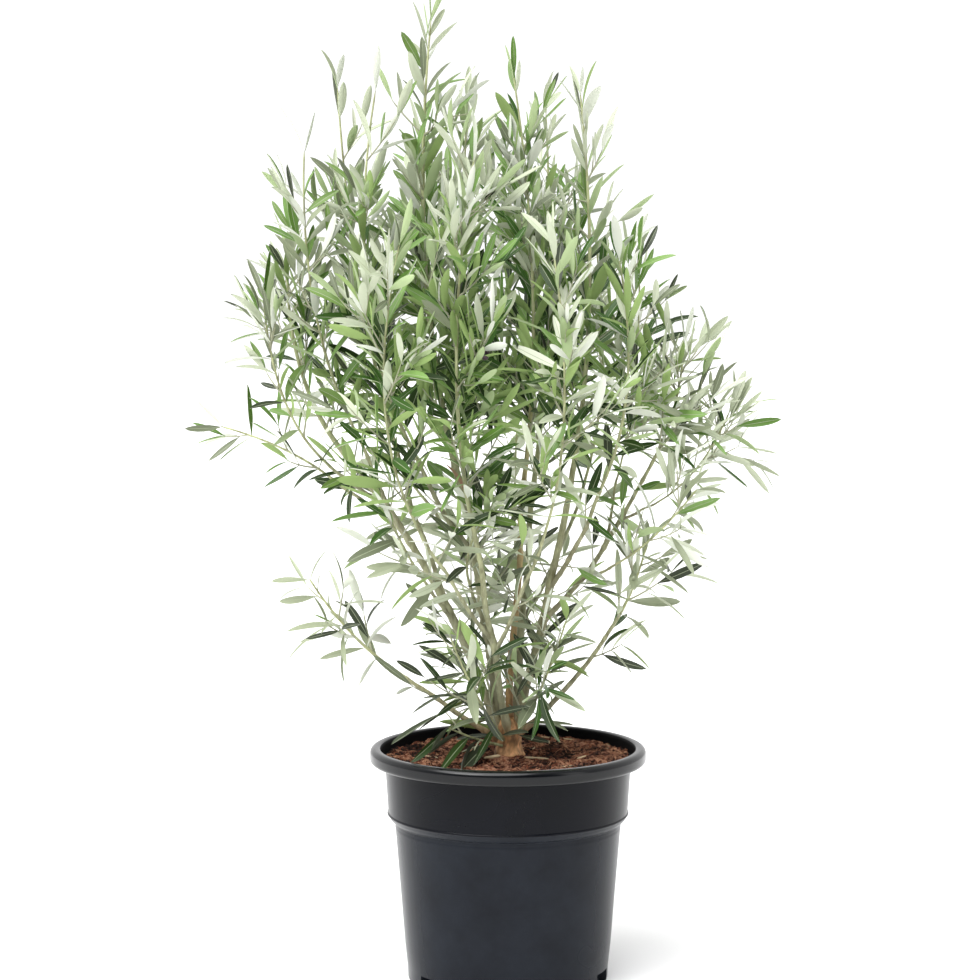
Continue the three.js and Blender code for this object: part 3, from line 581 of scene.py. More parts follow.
def make_piece(name, arrays, materials, nodes=(), smooth=True):
    """A joined mesh from (corners in millimetres, faces, material slot of each face)."""
    corners, faces, slots = arrays
    mesh = bpy.data.meshes.new(name)
    mesh.from_pydata(np.asarray(corners, np.float32) * MM, [], faces, shade_flat=not smooth)
    for material in materials:
        mesh.materials.append(material)
    slots = np.broadcast_to(slots, len(faces)).astype(np.int32)
    mesh.polygons.foreach_set("material_index", slots)
    mesh.update()
    mesh.validate()
    piece = add_object(name, mesh)
    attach(piece, "root")
    if nodes:
        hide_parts(*nodes)
    return piece


def ring(radius, height, angles):
    """A level ring of corners; the radius and the height may differ from angle to angle."""
    x, y = radius * np.cos(angles), radius * np.sin(angles)
    return np.stack([x, y, np.broadcast_to(height, len(angles))], -1)


def ring_quads(rows, columns, closed=True):
    """Quads that join rows of equally many corners in turn."""
    r = np.arange(rows - 1)[:, None]
    c = np.arange(columns if closed else columns - 1)[None, :]
    a = r * columns + c
    b = r * columns + (c + 1) % columns
    return np.stack([a, b, b + columns, a + columns], -1).reshape(-1, 4)


def full_turn(count):
    """So many angles, evenly round a circle."""
    return np.arange(count) * 2 * pi / count


def tube(line, radii, sides, slot=0, relief=None):
    """Rings round a line; relief(line, angles) pushes them out by so many millimetres."""
    ways = np.vstack([line.directions[:1], line.directions[:-1] + line.directions[1:],
                      line.directions[-1:]])
    ways /= np.linalg.norm(ways, axis=1)[:, None]
    side = np.array(line.sides + [line.sides[-1]])
    side -= ways * (side * ways).sum(1)[:, None]
    side /= np.linalg.norm(side, axis=1)[:, None]
    over = np.cross(ways, side)
    angles = full_turn(sides)
    out = (side[:, None, :] * np.cos(angles)[None, :, None]
           + over[:, None, :] * np.sin(angles)[None, :, None])
    r = np.broadcast_to(np.asarray(radii)[:, None], (len(line.points), sides))
    if relief is not None:
        r = r + relief(line, angles)
    corners = (line.points[:, None, :] + out * r[..., None]).reshape(-1, 3)
    return corners, ring_quads(len(line.points), sides), slot


def join(parts):
    """Joins (corners, quads, slot) parts into one set of arrays."""
    firsts = np.cumsum([0] + [len(corners) for corners, _, _ in parts])
    return (np.concatenate([corners for corners, _, _ in parts]),
            np.concatenate([quads + first for (_, quads, _), first in zip(parts, firsts)]),
            np.concatenate([np.full(len(quads), slot) for _, quads, slot in parts]))


# ---- materials ----
def linear(red, green, blue):
    """A plain colour given as it looks on a screen, 0 to 255."""
    def one(c):
        c /= 255
        return c / 12.92 if c <= 0.04045 else ((c + 0.055) / 1.055) ** 2.4
    return one(red), one(green), one(blue), 1.0


def new_material(name, color, roughness, specular, grain=None, strength=0, depth=0):
    """A material with a fine relief; the grain is what its noise is made from."""
    material = bpy.data.materials.new(name)
    material.use_nodes = True
    tree = material.node_tree
    shader = tree.nodes["Principled BSDF"]
    shader.inputs["Base Color"].default_value = color
    shader.inputs["Roughness"].default_value = roughness
    shader.inputs["Specular IOR Level"].default_value = specular
    if grain:
        bump = add_node(tree, "Bump", Strength=strength, Distance=depth)
        link(tree, noise_node(tree, *grain), "Fac", bump, "Height")
        link(tree, bump, "Normal", shader, "Normal")
    return material, tree, shader


def link(tree, a, out, b, into):
    tree.links.new(a.outputs[out], b.inputs[into])


def add_node(tree, kind, **inputs):
    node = tree.nodes.new("ShaderNode" + kind)
    for name, value in inputs.items():
        node.inputs[name].default_value = value
    return node


def noise_node(tree, scale, detail=4, roughness=0.55, stretch=None):
    """Noise in the object's own metres, optionally stretched along each axis."""
    place, out = add_node(tree, "TexCoord"), "Object"
    if stretch:
        mapping = add_node(tree, "Mapping", Scale=stretch)
        link(tree, place, out, mapping, "Vector")
        place, out = mapping, "Vector"
    node = add_node(tree, "TexNoise", Scale=scale, Detail=detail, Roughness=roughness)
    link(tree, place, out, node, "Vector")
    return node


def ramp_node(tree, stops):
    node = add_node(tree, "ValToRGB")
    elements = node.color_ramp.elements
    while len(elements) < len(stops):
        elements.new(0.5)
    for element, (at, color) in zip(elements, stops):
        element.position = at
        element.color = color
    return node


def toned(tree, source, out, stops, shader, into="Base Color"):
    """Colours one input of a shader by a ramp over another node's output."""
    tone = ramp_node(tree, stops)
    link(tree, source, out, tone, "Fac")
    link(tree, tone, "Color", shader, into)


def scaled_sum(tree, factor):
    """A node that gives its first input times the factor, plus its third."""
    node = add_node(tree, "Math")
    node.operation = "MULTIPLY_ADD"
    node.inputs[1].default_value = factor
    return node


LEAF_GRAIN = (900, 2, 0.6, (1, 1, 0.35))
UPPER_TINTS = [(32, 55, 9), (52, 86, 26), (82, 115, 45), (112, 145, 76), (97, 124, 60),
               (54, 62, 45), (101, 109, 85), (141, 149, 122), (173, 181, 155), (199, 204, 184)]
UNDER_TINTS = [(143, 167, 102), (165, 183, 136), (190, 197, 172), (214, 218, 204)]
FIRST_UNDER = len(UPPER_TINTS)
MIDRIB = FIRST_UNDER + len(UNDER_TINTS)
DRY, SCORCHED = MIDRIB + 1, MIDRIB + 2
# the hanging sprig's leaves take these dark tints on both sides, painted shade low under the crown
DARKEST, HANGING_SHADE_TINT = 0, 5
# the shares of the tints, in per cent, in each of the zones of the crown; darker in the heart and by
# the foot as painted shade, paler above and at the edge as painted light
UPPER_SHADE_DEALS = [(36, 29, 17, 6, 9, 2, 1, 0, 0, 0), (1, 5, 14, 22, 10, 2, 8, 18, 17, 3),
               (1, 4, 8, 8, 4, 6, 14, 20, 20, 15), (2, 1, 1, 1, 2, 13, 20, 23, 23, 14),
               (13, 5, 1, 1, 4, 27, 23, 16, 9, 1)]
UNDER_SHADE_DEALS = [(76, 22, 2, 0), (8, 38, 36, 18), (3, 20, 44, 33), (2, 13, 43, 42), (18, 36, 32, 14)]


def leaf_materials():
    looks = [(f"leaf_upper_{i}", tint, 0.45, 0.32) for i, tint in enumerate(UPPER_TINTS, 1)]
    looks += [(f"leaf_under_{i}", tint, 0.75, 0.3) for i, tint in enumerate(UNDER_TINTS, 1)]
    looks += [("leaf_midrib", (150, 158, 130), 0.55, 0.35), ("leaf_dry", (178, 140, 122), 0.7, 0.25),
              ("leaf_scorched", (42, 44, 38), 0.6, 0.3)]
    return [new_material(name, linear(*tint), rough, specular, LEAF_GRAIN, 0.25, 0.0003)[0]
            for name, tint, rough, specular in looks]


MIX_FIRST, MIX_SECOND, MIXED = 6, 7, 2  # a mix node's sockets for colours


def bark_material():
    """Bark in the tint of each limb, darkened and lightened by a long mottle."""
    material, tree, shader = new_material("young_bark", linear(150, 145, 116), 0.72, 0.3,
                                          (700, 4, 0.65, (1, 1, 0.4)), 0.5, 0.0006)
    tint = add_node(tree, "Attribute")
    tint.attribute_name = "bark_tint"
    mix = add_node(tree, "Mix", Factor=1.0)
    mix.data_type = "RGBA"
    mix.blend_type = "MULTIPLY"
    shades = ramp_node(tree, [(0.3, (0.55, 0.52, 0.46, 1)), (0.5, (0.95, 0.95, 0.95, 1)),
                              (0.7, (1.3, 1.3, 1.25, 1))])
    link(tree, noise_node(tree, 160, 5, 0.6, (1, 1, 0.3)), "Fac", shades, "Fac")
    link(tree, tint, "Color", mix, MIX_FIRST)
    link(tree, shades, "Color", mix, MIX_SECOND)
    link(tree, mix, MIXED, shader, "Base Color")
    return material


def twig_material():
    return new_material("green_twig", linear(162, 163, 138), 0.6, 0.35, (800, 3), 0.3, 0.0003)[0]


def olive_material():
    material, tree, shader = new_material("ripe_olive", linear(52, 34, 44), 0.35, 0.5)
    toned(tree, noise_node(tree, 260, 4, 0.6), "Fac",
          [(0.35, linear(38, 26, 34)), (0.7, linear(84, 58, 70))], shader)
    return material


def pot_material(name, dark, light, smooth, rough, specular):
    """Moulded plastic, cloudy in tone and gloss, with a fine grain."""
    material, tree, shader = new_material(name, linear(*dark), smooth, specular,
                                          (1500, 3, 0.6), 0.02, 0.0003)
    toned(tree, noise_node(tree, 22, 5, 0.6), "Fac",
          [(0.3, linear(*dark)), (0.7, linear(*light))], shader)
    toned(tree, noise_node(tree, 9, 1, 0.4), "Fac",
          [(0.3, (smooth, smooth, smooth, 1)), (0.75, (rough, rough, rough, 1))], shader,
          "Roughness")
    return material


def pot_materials():
    # the collar, the rim and the inside are the body's plastic painted darker: painted shade under the
    # rim, on the rim and inside the pot
    return [pot_material("pot_body_plastic", (18, 21, 27), (26, 30, 37), 0.25, 0.28, 0.12),
            pot_material("pot_collar_painted_shade", (5, 7, 12), (9, 11, 18), 0.25, 0.28, 0.12),
            pot_material("pot_rim_painted_shade", (3, 4, 6), (6, 8, 11), 0.19, 0.22, 0.3),
            pot_material("pot_inner_painted_shade", (3, 3, 4), (7, 7, 8), 0.5, 0.6, 0.05)]


def soil_material():
    """Crumbs of several browns over near-black pits, painted shade between the crumbs, in darker and
    lighter drifts.
    """
    material, tree, shader = new_material("coir_compost", linear(84, 52, 36), 0.95, 0.15,
                                          (600, 8, 0.7), 0.9, 0.002)
    crumbs = noise_node(tree, 150, 8, 0.75)
    both = scaled_sum(tree, 0.55)
    link(tree, noise_node(tree, 26, 3, 0.5), "Fac", both, 0)
    link(tree, crumbs, "Fac", both, 2)
    # the near-black stop is painted shade in the pits between crumbs
    toned(tree, both, "Value", [(0.68, linear(8, 4, 3)), (0.78, linear(80, 46, 34)),
                                (0.92, linear(172, 126, 102))], shader)
    return material


COIR = [("coir_dark", (28, 15, 10)), ("coir_rust", (120, 70, 50)), ("coir_tan", (176, 130, 102)),
        ("straw", (206, 186, 152))]
STRAW = 3  # the slot of the last one


def fibre_materials():
    return [new_material(name, linear(*color), 0.9, 0.2, (900, 3), 0.4, 0.0004)[0]
            for name, color in COIR]


# ---- pot ----
RIM_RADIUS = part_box("pot")[1].x / MM
ROUND = 192
NOTCHES = 6
NOTCH_WIDTH = 34.0
NOTCH_HEIGHT = 15.0
NOTCH_INNER = 102.0
NOTCH_TURN = 2 / 3
NOTCH_WALL = 0.0015  # the angle in which a notch's side wall stands
FOOT_RADIUS = 109.0
COLLAR_HEIGHT = 182.0
RIM_FOOT_HEIGHT = 234.0
CREASE = 32  # the least angle, in degrees, that shows as an edge
# the profile's points are [radius, height]
POT_INSIDE = [(137.5, 249), (136.5, 242), (131.1, 238), (127.7, 185), (120.4, 171),
              (106.4, NOTCH_HEIGHT + 10), (92, 3), (0, 3)]
LIP_STEPS = 6
INNER_ROWS = len(POT_INSIDE) + 4  # the inside's near-black, painted shade, starts half way round the lip


def arc(centre, radius, start, end, steps):
    """Profile points on an arc, angles in degrees from straight out."""
    angles = [radians(start + (end - start) * i / steps) for i in range(steps + 1)]
    return [(centre[0] + radius * cos(a), centre[1] + radius * sin(a)) for a in angles]


def pot_profile():
    rim = RIM_RADIUS
    return [(0, 0), (60, 0), (100, 0), *arc((105.4, 3.4), 3.4, -90, -8, 5),
            (109.2, NOTCH_HEIGHT - 0.05), (109.25, NOTCH_HEIGHT + 0.15), (112, 40), (116.5, 96),
            (122.3, 166), (122.7, 168.2), (122.4, 169), (122.7, 170.5),
            *arc((124.2, 172.6), 1.6, 200, 120, 3), (127.6, 177.6), (129.2, 180.2),
            *arc((129.6, 183.2), 1.6, -60, 70, 5), (130.2, 186.6), (131.4, 206), (133.2, 233),
            *arc((136.0, 236.4), 2.6, 190, 95, 4), (141, 238.6),
            *arc((rim - 5.0, 243.4), 5.0, -85, 0, 7), (rim, 246.5),
            *arc((rim - 6.2, 248.8), 6.2, 0, 90, 9),
            *arc((rim - 8.5, 251.0), 4.0, 90, 175, LIP_STEPS), *POT_INSIDE]


def make_pot():
    angles = list(full_turn(ROUND))
    half = asin(NOTCH_WIDTH / 2 / FOOT_RADIUS)
    for i in range(NOTCHES):
        middle = 2 * pi * (i + NOTCH_TURN) / NOTCHES
        for edge in (middle - half, middle + half):
            angles += [edge - NOTCH_WALL, edge + NOTCH_WALL]
    angles = np.array(sorted(a % (2 * pi) for a in angles))
    turn = angles / (2 * pi) * NOTCHES - NOTCH_TURN
    notched = np.abs((turn - np.round(turn)) / NOTCHES * 2 * pi) < half
    rows = []
    profile = pot_profile()
    for r, z in profile:
        radius = np.full(len(angles), float(r))
        if z < NOTCH_HEIGHT and r > NOTCH_INNER:
            radius[notched] = NOTCH_INNER
        rows.append(ring(radius, z, angles))
    heights = np.array([z for _, z in profile])
    # the collar, rim and inside zones take the darker plastics that paint shade
    zone = np.where(heights < COLLAR_HEIGHT, 0, np.where(heights < RIM_FOOT_HEIGHT, 1, 2))
    zone[len(profile) - INNER_ROWS:] = 3
    arrays = (np.concatenate(rows), ring_quads(len(rows), len(angles)),
              np.repeat(zone[:-1], len(angles)))
    pot = make_piece("pot_shell", arrays, pot_materials(), ["pot"])
    pot.data.set_sharp_from_angle(angle=radians(CREASE))


# ---- soil ----
SOIL_ROUND = 300
SOIL_RINGS = 110
SOIL_RADIUS = 133.0  # of the loose top; two more rings tuck its edge down by the wall
SOIL_TUCK = (134.4, 135.6)
TUCK_SLOPE = 1.2
SMOOTH_MIDDLE, ROUGH_FROM = 10, 30  # the crumbs grow to full height between these radii
LEAST_ROUGH = 0.2
SOIL_WALL = ((130.6, 238.2), (127, 185), (119.6, 171), (105.6, 25), (91, 3.4))  # radius, height
CRUMBLE = ((2.8, 13), (2.6, 5.2), (1.6, 2.3))  # the height and breadth of each size of crumb


def soil_height(x, y):
    """The top of the compost as in the solids: waves, and a level collar round the trunk."""
    radius = np.hypot(x, y)
    mound = np.clip(1 - (radius - SOIL_COLLAR) / SOIL_FADE, 0, 1)
    edge = np.clip((SOIL_EDGE - radius) / SOIL_FADE, 0, 1)
    waves = 1.6 * np.sin(x / 17 + 1.2) * np.cos(y / 21) + 0.9 * np.sin((x - y) / 11)
    level = (GROUND - GAP - SOIL_MEAN) * mound
    return SOIL_MEAN + level + np.minimum(1 - mound, edge) * (waves + SOIL_SLOPE * x)


def crumble(x, y):
    """The small relief of loose compost at a place."""
    spot = Vector((x, y, 3.1))
    return sum(high * noise(spot / wide) for high, wide in CRUMBLE)


def surface(x, y):
    return float(soil_height(x, y)) + crumble(x, y)


def make_soil():
    angles = full_turn(SOIL_ROUND)
    rows = []
    for r in (*np.linspace(0.5, SOIL_RADIUS, SOIL_RINGS), *SOIL_TUCK):
        x, y, _ = ring(r, 0, angles).T
        relief = np.array([crumble(a, b) for a, b in zip(x, y)])
        tuck = max(0, r - SOIL_RADIUS) * TUCK_SLOPE
        rough = max(LEAST_ROUGH, ramp(r, SMOOTH_MIDDLE, ROUGH_FROM))
        z = soil_height(x, y) + relief * rough - tuck
        rows.append(ring(r, z, angles))
    rows += [ring(r, z, angles) for r, z in SOIL_WALL]
    middle = [(0, 0, float(rows[0][:, 2].mean())), (0, 0, SOIL_WALL[-1][1])]
    vertices = np.concatenate(rows + [middle])
    last = (len(rows) - 1) * SOIL_ROUND
    i = np.arange(SOIL_ROUND)
    j = (i + 1) % SOIL_ROUND
    top = np.stack([np.full(SOIL_ROUND, len(vertices) - 2), i, j], -1)
    bottom = np.stack([np.full(SOIL_ROUND, len(vertices) - 1), last + j, last + i], -1)
    quads = ring_quads(len(rows), SOIL_ROUND)[:, ::-1]
    faces = [*quads.tolist(), *top.tolist(), *bottom.tolist()]
    make_piece("compost", (vertices, faces, 0), [soil_material()], ["soil"])


# ---- litter ----
LITTER_SEED = 7
CLODS = 5200
FIBRES = 5200
CLOD_REACH, FIBRE_REACH = 133, 131  # from the middle of the pot
CLOD_CLEAR, FIBRE_CLEAR = 21, 23  # from the trunk
CLOD_TONES, FIBRE_TONES = (0.48, 0.88), (0.4, 0.85)  # where the dark ones end and the tan ones begin
PALE_SHARE = 0.003  # of fibres that are bits of straw
FIBRE_STEPS = 5
FIBRE_SIDES = 4
CUBE = np.array([[x, y, z] for z in (-1, 1) for x, y in ((-1, -1), (1, -1), (1, 1), (-1, 1))], float)
CUBE_QUADS = np.array([(3, 2, 1, 0), (4, 5, 6, 7), (0, 1, 5, 4), (1, 2, 6, 5), (2, 3, 7, 6),
                       (3, 0, 4, 7)])
# foot x and y, heading in degrees, length, thickness
STRAWS = [(33, 118, -32, 54, 0.75), (17, -24, 8, 27, 1.1), (-26, -32, 20, 19, 1.9),
          (-50, 34, 14, 30, 0.7), (-92, 6, -12, 16, 0.8), (74, -22, 35, 14, 0.8)]
STRAW_POINTS = 8
STRAW_SIDES = 6
STRAW_BEND = 0.001
STRAW_REST = 70  # a straw lies over this share of the ground along it, in per cent


def scattered(rng, reach):
    """A place on the compost as x, y and its distance from the middle."""
    r = reach * sqrt(rng.random())
    a = 2 * pi * rng.random()
    return r * cos(a), r * sin(a), r


def shade(rng, x, y, tones):
    """The slot of a crumb's brown: dark, rust or tan, in drifts."""
    tone = rng.random() + 1.6 * noise(Vector((x / 15, y / 22, 9.7)))
    return sum(tone >= limit for limit in tones)


def clods(rng):
    parts = []
    for _ in range(CLODS):
        x, y, r = scattered(rng, CLOD_REACH)
        if r < CLOD_CLEAR:
            continue
        size = 0.4 + 1.2 * rng.random() ** 3
        lump = CUBE * size * rng.uniform(0.5, 1.25, (8, 3)) * np.array([1, rng.uniform(0.5, 1), 0.6])
        turn = rng.random() * 6.28
        c, s = cos(turn), sin(turn)
        lump = lump @ np.array([[c, s, 0], [-s, c, 0], [0, 0, 1]])
        lump += (x, y, surface(x, y) + size * 0.25)
        parts.append((lump, CUBE_QUADS, shade(rng, x, y, CLOD_TONES)))
    return parts


def fibres(rng):
    parts = []
    for _ in range(FIBRES):
        x, y, r = scattered(rng, FIBRE_REACH)
        if r < FIBRE_CLEAR:
            continue
        pale = rng.random() < PALE_SHARE
        step = (rng.uniform(8, 20) if pale else rng.uniform(3, 13)) / FIBRE_STEPS
        heading = rng.random() * 6.28
        bend = (rng.uniform(-0.3, 0.3) if pale else rng.uniform(-2.2, 2.2)) / FIBRE_STEPS
        points = []
        for s in range(FIBRE_STEPS + 1):
            if hypot(x, y) > SOIL_RADIUS:
                break
            lift = 0.5 + 1.1 * sin(pi * s / FIBRE_STEPS) * rng.random()
            points.append((x, y, surface(x, y) + lift))
            heading += bend
            x += cos(heading) * step
            y += sin(heading) * step
        if len(points) < 3:
            continue
        thick = rng.uniform(0.4, 0.75) if pale else rng.uniform(0.12, 0.3)
        radii = thick * np.array([0.5] + [1] * (len(points) - 2) + [0.4])
        brown = shade(rng, x, y, FIBRE_TONES)
        parts.append(tube(Line(points), radii, FIBRE_SIDES, STRAW if pale else brown))
    return parts


def straws():
    """Pale straws laid straight over the crumbs."""
    parts = []
    for x, y, heading, length, thick in STRAWS:
        places = np.linspace(0, length, STRAW_POINTS)
        xs = x + places * cos(radians(heading))
        ys = y + places * sin(radians(heading)) - STRAW_BEND * places ** 2
        ground = np.array([surface(a, b) for a, b in zip(xs, ys)])
        zs = np.linspace(ground[0], ground[-1], STRAW_POINTS)
        zs += np.percentile(ground - zs, STRAW_REST) + thick * 0.7
        radii = thick * np.array([0.4] + [1] * (STRAW_POINTS - 2) + [0.3])
        parts.append(tube(Line(np.stack([xs, ys, zs], -1)), radii, STRAW_SIDES, STRAW))
    return parts


def make_litter():
    """Clods, coir fibres and pale straws that lie loose on the compost."""
    rng = np.random.default_rng(LITTER_SEED)
    parts = clods(rng) + fibres(rng) + straws()
    make_piece("coir_litter", join(parts), fibre_materials(), ["soil"], smooth=False)


# ---- bark ----
BARK_TINTS = {
    "left_stem": (138, 136, 114), "centre_stem": (166, 130, 92), "back_stem": (128, 128, 108),
    "front_stem": (158, 158, 130), "left_front_stem": (160, 158, 132), "right_stem": (146, 142, 116),
    "low_left_bough": (146, 138, 112), "low_right_bough": (140, 134, 114),
    "burl": (204, 156, 112), "shoot": (166, 170, 130),
}
BARK_PITCH = 2.2  # between the rings of a limb
THICK, THICK_SIDES, THIN_SIDES = 3.9, 18, 14
STEM_SMOOTHING = 4
STEM_SIDES = 10
STEM_SUNK = 1.2  # a leafy stem starts so far inside its limb's tip
STEM_RELIEF = 0.35
NODE_LENGTH, NODE_BUDS, NODE_RING, UNEVEN = 2.4, 0.5, 0.28, 0.35
FOOT_FLARE, FORK_FLARE, FORK_SWELL, FLARE_LENGTH = 0.3, 0.55, 0.2, 7
FOOT_LEAD = 16  # how far up from its foot in the burl a stem still has its full flare
LOW_TINT_FROM, LOW_TINT_FADE, LOW_TINT_SHARE = 270, 9, 0.55
YOUNG_BLEND = 0.6

BURL_SIDES = 84
BURL_LEVELS = 44
BURL_SUNK = 2.5
BURL_CLOSING = (0.92, 0.78, 0.6, 0.4, 0.2, 0.03)  # the rings that round off its top
LOBE_SHARE = 0.5
LUMP, SMALL_LUMP, LUMPS_ROUND, LUMP_HEIGHT, FINER = 1.5, 0.6, 1.5, 12, 2.7
CRACK_WIDTH, CRACK_DEPTH, CRACKS_ROUND, CRACK_LENGTH = 0.16, 0.35, 2.6, 11


def blend(one, other, share):
    return one * (1 - share) + other * share


def limb_relief(key, strength=1.0):
    """Low swellings at the leaf nodes, two opposite at each, and shallow unevenness."""
    def relief(line, angles):
        out = np.zeros((len(line.walked), len(angles)))
        for row, (walked, (x, y, z)) in enumerate(zip(line.walked, line.points)):
            node = round(walked / NODE_PITCH)
            near = exp(-((walked - node * NODE_PITCH) / NODE_LENGTH) ** 2)
            buds = np.maximum(0, np.cos(2 * (angles - pi / 2 * node - key))) ** 2
            out[row] = near * (NODE_BUDS * buds + NODE_RING)
            spot = Vector((x, y, z * 0.5)) / 5
            out[row] += [UNEVEN * noise(spot + Vector((cos(a), sin(a), key))) for a in angles]
        return strength * out
    return relief


def burl_part():
    """The burl from just under the soil to the fork, lumpy and cracked, and its painted light and
    shade.
    """
    heights, radii, lobes = np.array(TRUNK_STATIONS).T
    height = heights[-1]
    rows = []
    shades = []
    levels = [*np.linspace(-BURL_SUNK, height, BURL_LEVELS)] + [height + 0.5] * len(BURL_CLOSING)
    for z, close in zip(levels, (1.0,) * BURL_LEVELS + BURL_CLOSING):
        up = max(z, 0)
        radius = np.interp(up, heights, radii)
        lobe = np.interp(up, heights, lobes) * LOBE_SHARE
        lean = 1 - up / height
        for a in full_turn(BURL_SIDES):
            r = radius * (1 + lobe * cos(FLARE_LOBES * a)) * close
            p = Vector((cos(a) * LUMPS_ROUND, sin(a) * LUMPS_ROUND, z / LUMP_HEIGHT))
            lump = LUMP * noise(p) + SMALL_LUMP * noise(p * FINER)
            rift = abs(noise(Vector((p.x * CRACKS_ROUND, p.y * CRACKS_ROUND, z / CRACK_LENGTH))))
            crack = CRACK_DEPTH * max(0, CRACK_WIDTH - rift) / CRACK_WIDTH
            r += (lump - crack) * min(1, close * 1.5)
            # painted light and shade: the right front side lighter and the left back darker, and the
            # cracks darker, partly darker bark and partly painted shade
            side = 0.86 + 0.22 * cos(a + 0.4)
            shades.append((1 - crack) * (side + 0.9 * noise(p * 1.9)))
            rows.append((TRUNK_LEAN[0] * lean + r * cos(a),
                         TRUNK_LEAN[1] * lean + r * sin(a), GROUND + z + 1.2 * (1 - close)))
    return (np.array(rows), ring_quads(len(levels), BURL_SIDES), 0), np.array(shades)[:, None]


def limb_part(limb, forks, key, tint, young, burl):
    """A limb that flares at its foot and swells where others leave it, and its tints."""
    steps = max(6, int(limb["line"].total / LIMB_STEPS / BARK_PITCH))
    line = Line(smoothed(limb["line"].points, steps))
    share = line.walked / line.walked[-1]
    low = limb["parent"] == "trunk"
    flare = FOOT_FLARE if low else FORK_FLARE
    lead = FOOT_LEAD if low else 0
    radii = limb["radius"] * (1 - (1 - TIP_SHARE) * share)
    radii *= 1 + flare * np.exp(-np.maximum(0, line.walked - lead) / FLARE_LENGTH)
    for at in forks:
        off = (line.walked - at * line.walked[-1]) / FLARE_LENGTH
        radii *= 1 + FORK_SWELL * np.exp(-off ** 2)
    sides = THICK_SIDES if limb["radius"] > THICK else THIN_SIDES
    part = tube(line, radii, sides, relief=limb_relief(key))
    tints = blend(tint, young, np.repeat(share, sides)[:, None] * YOUNG_BLEND)
    if low:
        fade = np.exp(-np.maximum(0, part[0][:, 2] - LOW_TINT_FROM) / LOW_TINT_FADE)
        tints = blend(tints, burl, fade[:, None] * LOW_TINT_SHARE)
    return part, tints


def stem_part(stem, on_limb, key, tint, young):
    """A leafy stem that starts inside its limb's tip, and its tints."""
    points = stem["line"].points
    if on_limb:
        points = np.vstack([points[0] - stem["line"].directions[0] * STEM_SUNK, points])
    line = Line(smoothed(points, STEM_SMOOTHING))
    share = line.walked / line.walked[-1]
    radii = stem["foot"] + (STEM_TIP - stem["foot"]) * share
    radii[-1] *= 0.4
    part = tube(line, radii, STEM_SIDES, relief=limb_relief(key + 50, STEM_RELIEF))
    share = np.clip(YOUNG_BLEND + np.repeat(share, STEM_SIDES)[:, None], 0, 1)
    return part, blend(tint, young, share)


def make_bark(limbs, stems):
    """The burl, the limbs and the leafy stems as one skin, tinted point by point."""
    colors = {name: np.array(linear(*tint)[:3]) for name, tint in BARK_TINTS.items()}
    burl, young = colors["burl"], colors["shoot"]
    part, shades = burl_part()
    # the burl's tint carries its painted light and shade
    dressed = [(part, burl * shades)]
    for key, (name, limb) in enumerate(limbs.items()):
        if limb["parent"] != "trunk":
            colors[name] = colors[limb["parent"]]
        forks = [other["share"] for other in limbs.values() if other["parent"] == name]
        dressed.append(limb_part(limb, forks, key, colors[name], young, burl))
    for key, (name, stem) in enumerate(stems.items()):
        dressed.append(stem_part(stem, name in limbs, key, colors.get(name, young), young))
    arrays = join([part for part, _ in dressed])
    bark = make_piece("bark", arrays, [bark_material()], ["trunk", *limbs])
    layer = bark.data.color_attributes.new("bark_tint", "FLOAT_COLOR", "POINT")
    tints = np.concatenate([tints for _, tints in dressed])
    rgba = np.concatenate([tints, np.ones((len(tints), 1))], 1)
    layer.data.foreach_set("color", rgba.astype(np.float32).ravel())


def make_twigs(twigs, nodes):
    parts = []
    for line, foot, tip in twigs:
        radii = np.linspace(foot, tip, len(line.points))
        radii[0] *= 1.5
        radii[-1] *= 0.5
        parts.append(tube(line, radii, 6))
    make_piece("twigs", join(parts), [twig_material()], nodes)


# ---- leaves ----
# share of the length, half width over the greatest
LEAF_STATIONS = [(0, 0.14), (0.05, 0.13), (0.1, 0.27), (0.2, 0.58), (0.34, 0.86), (0.5, 0.99),
                 (0.66, 0.97), (0.8, 0.80), (0.92, 0.50), (1.0, 0.05)]
RIB_SHARE = 0.055
UPPER_ACROSS = np.array([-1, -RIB_SHARE, RIB_SHARE, 1])  # columns, in half widths
UNDER_ACROSS = np.array([-1, 0, 1])
UPPER_SUNK, UNDER_SUNK = -0.12, -0.62  # the midrib's height over the edges, on each side
LEAVES_IN_PIECE = 2000
CURL_SWING, CURL_DOWN, LOW_CURL = 0.2, 0.06, 0.1
SWEEP_SWING, FOLD, FOLD_MORE, ROLL_SWING, ROLL_FROM = 0.1, 0.16, 0.34, 0.5, 0.3
OWN_TINT = 0.35  # the share of leaves that don't follow their spray's tint
HANGING_DARK = 0.6


def deal(deals, parts, value):
    """Which tint a leaf gets in its mix of zones, from a number between nought and one."""
    shares = sum(np.array(shares) / 100 * part for shares, part in zip(deals, parts))
    return min(int(np.searchsorted(np.cumsum(shares), value)), len(shares) - 1)


def leaf_slots(leaf):
    """The material slots of a leaf's upper side, midrib and underside."""
    if "look" in leaf:
        return [leaf["look"]] * 3
    alone = chance(*leaf["keys"], 72) < OWN_TINT
    luck = chance(*(leaf["keys"] if alone else (leaf["spray"], 71)), 73)
    # a hanging leaf is dark on its upper side and its underside alike: painted shade
    if leaf["drooping"]:
        return HANGING_SHADE_TINT if luck < HANGING_DARK else DARKEST, MIDRIB, HANGING_SHADE_TINT
    # the zones deal painted shade into the heart and by the foot, and painted light above and at the
    # edge
    parts = shade_zones(leaf["root"])
    under = deal(UNDER_SHADE_DEALS, parts, chance(*leaf["keys"], 75))
    return deal(UPPER_SHADE_DEALS, parts, luck), MIDRIB, FIRST_UNDER + under


